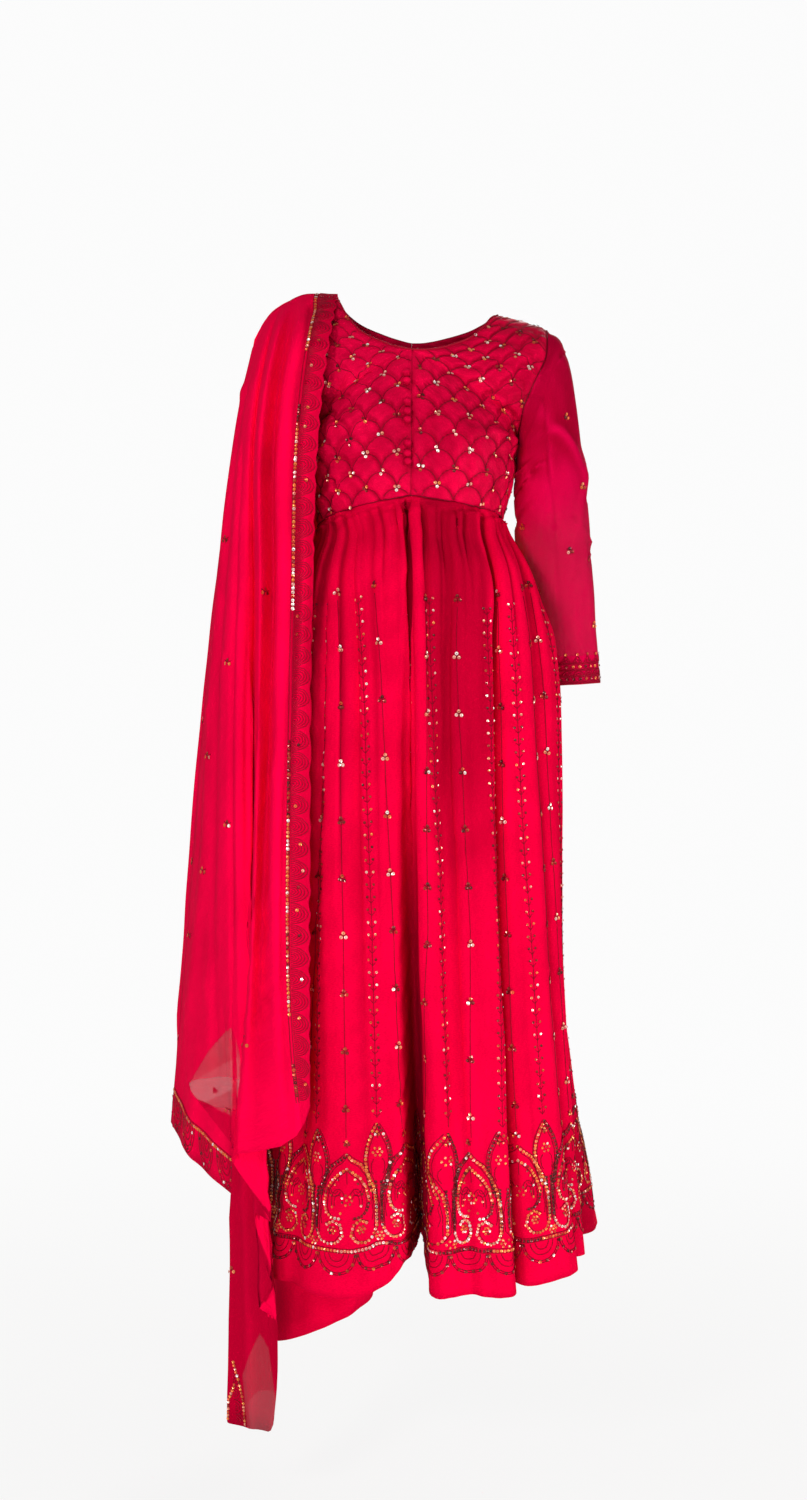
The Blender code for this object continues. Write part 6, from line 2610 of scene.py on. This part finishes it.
    def embroider(self, sequins: SequinWork, threads: ThreadWork) -> None:
        """Work the borders of the long edge and of the two ends, and sew the clusters.

        Args:
            sequins: Gathers the sequins.
            threads: Gathers the threads.
        """
        draw = np.random.default_rng(21)
        for face, grid in self.grids.items():
            front = face is Face.FRONT
            normals = grid.normals()
            beside = self.beside(grid, front)
            long_edge = Canvas(grid, normals, ClothMap(grid, beside, -grid.down, 0.05), sequins,
                               threads, draw)
            self.border(long_edge, float(grid.down[-1, -1 if front else 0]), front)
            up = grid.down[-1] - grid.down
            along = grid.across[-1:] - 0 * grid.across
            end = Canvas(grid, normals, ClothMap(grid, along, up, 0.05), sequins, threads, draw)
            if front:
                reach = float(grid.across[-1, int(np.argmin(abs(grid.stations - 3.0)))])
                self.end_border(end, 0.004, reach, 0.046)
                tip = float(grid.across[-1, int(np.argmin(abs(grid.stations - 5.0)))])
                for x, y in (((0.010, 0.020, 0.026, 0.028), (0.078, 0.052, 0.030, 0.004)),
                             ((0.012, 0.004, 0.003), (0.050, 0.030, 0.006))):
                    end.string(tip + np.array(x), y, Tone.GOLD)
                for k, y in enumerate((0.058, 0.040, 0.022, 0.006)):
                    for size in (1.0, 0.6, 0.3):
                        end.arc(tip + 0.009 + k * 0.002, y, 0.010 * size, 0.009 * size, -1.5, 1.5)
                seen = Canvas(grid, normals, ClothMap(grid, grid.points[..., 0],
                                                      grid.points[..., 2]), sequins, threads, draw)
                for x, y in self.CLUSTERS:
                    seen.cluster(x, y, Tone.MIXED)
            else:
                self.end_border(end, 0.004, float(grid.across[-1, -1]) - 0.004, 0.036)
                for row in range(6):
                    for k in range(4):
                        long_edge.cluster(0.09 + 0.11 * k + 0.02 * (row % 2),
                                          -0.12 - 0.19 * row - 0.04 * (k % 2), Tone.DULL)

    def border(self, canvas: Canvas, length: float, front: bool) -> None:
        """Concentric scallops along the long edge, inside a line of sequins.

        Args:
            canvas: The stretch of cloth to work on.
            length: Length of the edge.
            front: Whether it is the front stretch.
        """
        # painted reflection: the line of sequins is foil where it catches the light and dull
        # elsewhere
        glint_runs = ((0.0, 0.110), (0.245, 0.420), (0.700, 0.910)) if front else ((0.02, 0.30),)
        start = 0.004
        while start < length - 0.02:
            end = min(start + canvas.draw.uniform(0.03, 0.06), length - 0.01)
            in_glint_run = any(a - 0.02 < start < b for a, b in glint_runs)
            tone = Tone.FOIL if in_glint_run else Tone.DULL
            if in_glint_run or canvas.draw.random() < 0.35:
                canvas.string([0.0262, 0.0262], [-start, -end + 0.003], tone, 0.0050, 0.98)
            start = end
        for x in (0.0240, 0.0285):
            canvas.thread([x, x], [-0.003, -length + 0.004], step=0.008)
        for n in range(int(length / self.scallop)):
            middle = -(n + 0.5) * self.scallop
            for size in (1.0, 0.83, 0.66, 0.49, 0.32, 0.16):
                canvas.arc(0.0225, middle, -0.0205 * size, 0.0125 * size, -math.pi / 2,
                           math.pi / 2, max(5, int(11 * size)))
            if canvas.draw.random() < 0.45:
                canvas.dots([0.013 + canvas.draw.uniform(-0.006, 0.006)],
                            [middle + canvas.draw.uniform(-0.008, 0.008)], Tone.MIXED, 0.9)

    def end_border(self, canvas: Canvas, first: float, last: float, depth: float) -> None:
        """Scallops and a line of sequins along the cloth's end.

        Args:
            canvas: The stretch of cloth to work on.
            first: Where it starts along the end.
            last: Where it ends.
            depth: Height of its line of sequins above the end.
        """
        canvas.string([first, last], [depth, depth], Tone.GOLD, 0.0042, 0.9)
        canvas.thread([first, last], [depth + 0.003, depth + 0.003])
        count = max(1, int((last - first) / 0.040))
        for n in range(count):
            middle = first + (n + 0.5) * (last - first) / count
            for size in (1.0, 0.80, 0.60, 0.40, 0.20):
                canvas.arc(middle, depth - 0.003, 0.0195 * size, -(depth - 0.005) * size,
                           count=max(6, int(13 * size)))
            turn = np.linspace(0.2, math.pi - 0.2, 6)
            canvas.dots(middle + np.cos(turn) * 0.0165, depth - 0.003 - np.sin(turn)
                        * (depth - 0.010), Tone.DULL, 0.9)


DUPATTA_CREASES = {
    Face.FRONT: (
        (0.10, 0.75, 1.60, 1.40, 0.016, 0.0030),
        (0.30, 0.95, 2.60, 2.50, 0.012, -0.0030),
        (0.06, 0.95, 12.70, 12.62, 0.0085, -0.0080),
        (0.45, 1.05, 4.50, 4.50, 0.006, -0.0036),
        (0.60, 1.05, 5.50, 5.55, 0.007, 0.0040),
        (0.66, 1.05, 7.30, 7.40, 0.005, 0.0050),
        (0.70, 1.05, 8.20, 8.30, 0.005, -0.0050),
    ),
    Face.BACK: (
        (0.02, 0.95, 0.55, 0.50, 0.008, -0.0050),
        (0.02, 0.90, 1.50, 1.40, 0.012, 0.0060),
        (0.10, 0.95, 2.00, 1.95, 0.008, -0.0050),
        (0.05, 0.80, 2.60, 2.40, 0.010, -0.0060),
        (0.02, 0.90, 3.40, 3.60, 0.012, 0.0060),
        (0.20, 1.00, 3.90, 4.05, 0.008, -0.0050),
        (0.05, 0.90, 4.50, 4.60, 0.012, -0.0060),
        (0.10, 0.95, 5.40, 5.30, 0.010, 0.0046),
    ),
}
DUPATTA_DRAGS = {
    Face.FRONT: (
        (-0.4, 4.0, 0.36, 0.30, 0.009, 0.0024), (-0.4, 3.4, 0.52, 0.62, 0.008, -0.0022),
        (0.0, 4.5, 0.70, 0.62, 0.010, 0.0026), (9.6, 13.0, 0.74, 0.70, 0.009, 0.0020),
        (10.0, 13.4, 0.90, 0.84, 0.010, -0.0030), (0.2, 3.2, 0.90, 0.84, 0.008, 0.0022),
    ),
    Face.BACK: (
        (1.0, 4.0, 0.40, 0.46, 0.010, 0.0030), (2.4, 6.2, 0.62, 0.54, 0.010, -0.0030),
        (0.5, 3.5, 0.80, 0.86, 0.010, 0.0030),
    ),
}


# ----- studio ----------------------------------------------------------------------------------
@dataclass(frozen=True)
class Lamp:
    """A soft area lamp aimed at the suit."""

    name: str
    place: tuple[float, float, float]
    aim: tuple[float, float, float]
    size: float
    power: float
    colour: tuple[float, float, float] = (1.0, 0.98, 0.96)

    def build(self) -> None:
        """Add the lamp to the scene."""
        data = bpy.data.lights.new(self.name, "AREA")
        data.shape, data.size, data.energy, data.color = "DISK", self.size, self.power, self.colour
        lamp = put(self.name, data)
        lamp.location = self.place
        aim = Vector(self.aim) - Vector(self.place)
        lamp.rotation_euler = aim.to_track_quat("-Z", "Y").to_euler()


@dataclass
class Studio:
    """Pale floor, soft lamps and the camera."""

    camera_place: tuple[float, float, float] = (-11.5 / 780, -2.6, -0.464)
    camera_tilt: float = math.atan(70 / 2028)
    lens: float = 2028 / 1500 * 36
    floor_level: float = -1.50
    world: float = 0.24
    backdrop: float = 0.97

    LAMPS = (
        Lamp("Key_lamp", (-1.5, -3.0, 0.8), (0, 0, -0.6), 0.7, 46.0),
        Lamp("Low_lamp", (-0.4, -3.0, -1.30), (0, 0, -1.30), 0.8, 46.0),
        Lamp("Fill_lamp", (2.8, -1.4, -0.9), (0, 0, -0.9), 1.2, 46.0),
        Lamp("Back_lamp", (0.8, 3.0, 1.2), (0, 0, -0.6), 1.6, 60.0),
    )

    def build(self) -> None:
        """Set up the floor, the world, the lamps and the camera."""
        scene = bpy.context.scene
        scene.view_settings.view_transform = "Standard"
        world = bpy.data.worlds.new("Studio")
        world.use_nodes = True
        tree = world.node_tree
        seen = tree.nodes["Background"]
        seen.inputs[0].default_value = (1.0, 1.0, 1.0, 1)
        seen.inputs[1].default_value = self.backdrop
        glow = tree.nodes.new("ShaderNodeBackground")
        glow.inputs[0].default_value = (1.0, 0.985, 0.97, 1)
        glow.inputs[1].default_value = self.world
        mix = tree.nodes.new("ShaderNodeMixShader")
        tree.links.new(tree.nodes.new("ShaderNodeLightPath").outputs["Is Camera Ray"],
                       mix.inputs[0])
        tree.links.new(glow.outputs[0], mix.inputs[1])
        tree.links.new(seen.outputs[0], mix.inputs[2])
        tree.links.new(mix.outputs[0], tree.nodes["World Output"].inputs[0])
        scene.world = world
        for lamp in self.LAMPS:
            lamp.build()
        self.floor()
        data = bpy.data.cameras.new("Camera")
        data.lens, data.sensor_width = self.lens, 36.0
        camera = put("Camera", data)
        camera.location = self.camera_place
        camera.rotation_euler = (math.pi / 2 - self.camera_tilt, 0.0, 0.0)
        scene.camera = camera

    def floor(self) -> None:
        """Lay the floor."""
        side = 14.0
        mesh = bpy.data.meshes.new("Floor")
        corners = ((-side, -side), (side, -side), (side, side), (-side, side))
        mesh.from_pydata([(x, y, self.floor_level) for x, y in corners], [], [(0, 1, 2, 3)])
        floor = put("Floor", mesh)
        board = Board("floor")
        grain = board.noise(board.add("TexCoord").outputs["Object"], 3.0, 2.0)
        colour = board.ramp(grain, ((0.3, (0.84, 0.83, 0.82, 1)), (0.7, (0.87, 0.86, 0.85, 1))))
        shader = board.add("BsdfPrincipled", {"Base Color": colour, "Roughness": 0.9,
                                              "Specular IOR Level": 0.1})
        haze = board.add("Emission", {0: (1.0, 1.0, 1.0, 1), 1: self.backdrop})
        place = board.add("NewGeometry").outputs["Position"]
        near = board.add("VectorMath", {0: place, 1: (0.0, 0.0, self.floor_level)},
                         operation="DISTANCE").outputs["Value"]
        far = board.rescale(near, 0.2, 2.6, 0.88, 1.0, interpolation_type="SMOOTHSTEP")
        seen = board.add("LightPath").outputs["Is Camera Ray"]
        share = board.times(far, seen)
        mix = board.add("MixShader", {0: share, 1: shader.outputs[0], 2: haze.outputs[0]})
        mesh.materials.append(board.close(mix))


def dress(pieces: Iterable[Piece], finish: Material) -> None:
    """Give the pieces their finish.

    Args:
        pieces: The pieces.
        finish: Their finish.
    """
    for piece in pieces:
        piece.data.materials.clear()
        piece.data.materials.append(finish)
        LOG.info("%s: %d faces", piece.name, len(piece.data.polygons))


def main() -> None:
    """Build the suit, piece by piece, and its studio."""
    logging.basicConfig(level=logging.INFO, format="%(message)s")
    Studio().build()
    silk = BODICE_SILK.material()
    crepe = CRIMSON_CREPE.material()
    sheer_sleeve, sheer_dupatta = SHEER_SLEEVE.material(), SHEER_DUPATTA.material()
    dark, cord, metal = DARK_THREAD.material(), PIPING.material(), SEQUINS.material()
    lace = BORDER_THREAD.material()

    bodice, sleeves, skirt = Bodice(), Sleeves(), Skirt()
    salwar, dupatta = Salwar(), Dupatta()
    dress(bodice.build(), silk)
    dress([Buttons().build(bodice.grids[Face.FRONT, Half.RIGHT])], silk)
    dress(sleeves.build(), sheer_sleeve)
    dress(skirt.build(), crepe)
    dress(salwar.build(), crepe)
    dress(dupatta.build(), sheer_dupatta)

    cords, seams = ThreadWork(cord, 0.0013, 6), ThreadWork(dark, 0.0006, 5)
    bodice.trim(cords, seams)
    cords.build("Neck_piping", "bodice_silk")
    seams.build("Seam_lines", "bodice_silk")
    for name, slot, thread, work in (
            ("Bodice", "bodice_silk", dark, bodice.embroider),
            ("Sleeve", "sleeve_georgette", lace, sleeves.embroider),
            ("Dupatta", "dupatta_chiffon", lace, dupatta.embroider)):
        sequins = SequinWork(metal)
        threads = ThreadWork(thread, 0.0008 if thread is lace else 0.00045)
        work(sequins, threads)
        sequins.build(name + "_sequins", slot, 1)
        threads.build(name + "_threads", slot)
    sequins, threads = SequinWork(metal), ThreadWork(dark, 0.0004)
    hem_sequins, hem_threads = SequinWork(metal, sides=7), ThreadWork(dark, 0.0005)
    SkirtWork(skirt.grid).embroider(sequins, threads, hem_sequins, hem_threads)
    for work, name in ((sequins, "Skirt_sequins"), (hem_sequins, "Hem_sequins")):
        work.build(name, "skirt_georgette", 1)
    for work, name in ((threads, "Skirt_threads"), (hem_threads, "Hem_threads")):
        work.build(name, "skirt_georgette")


if __name__ == "__main__":
    main()
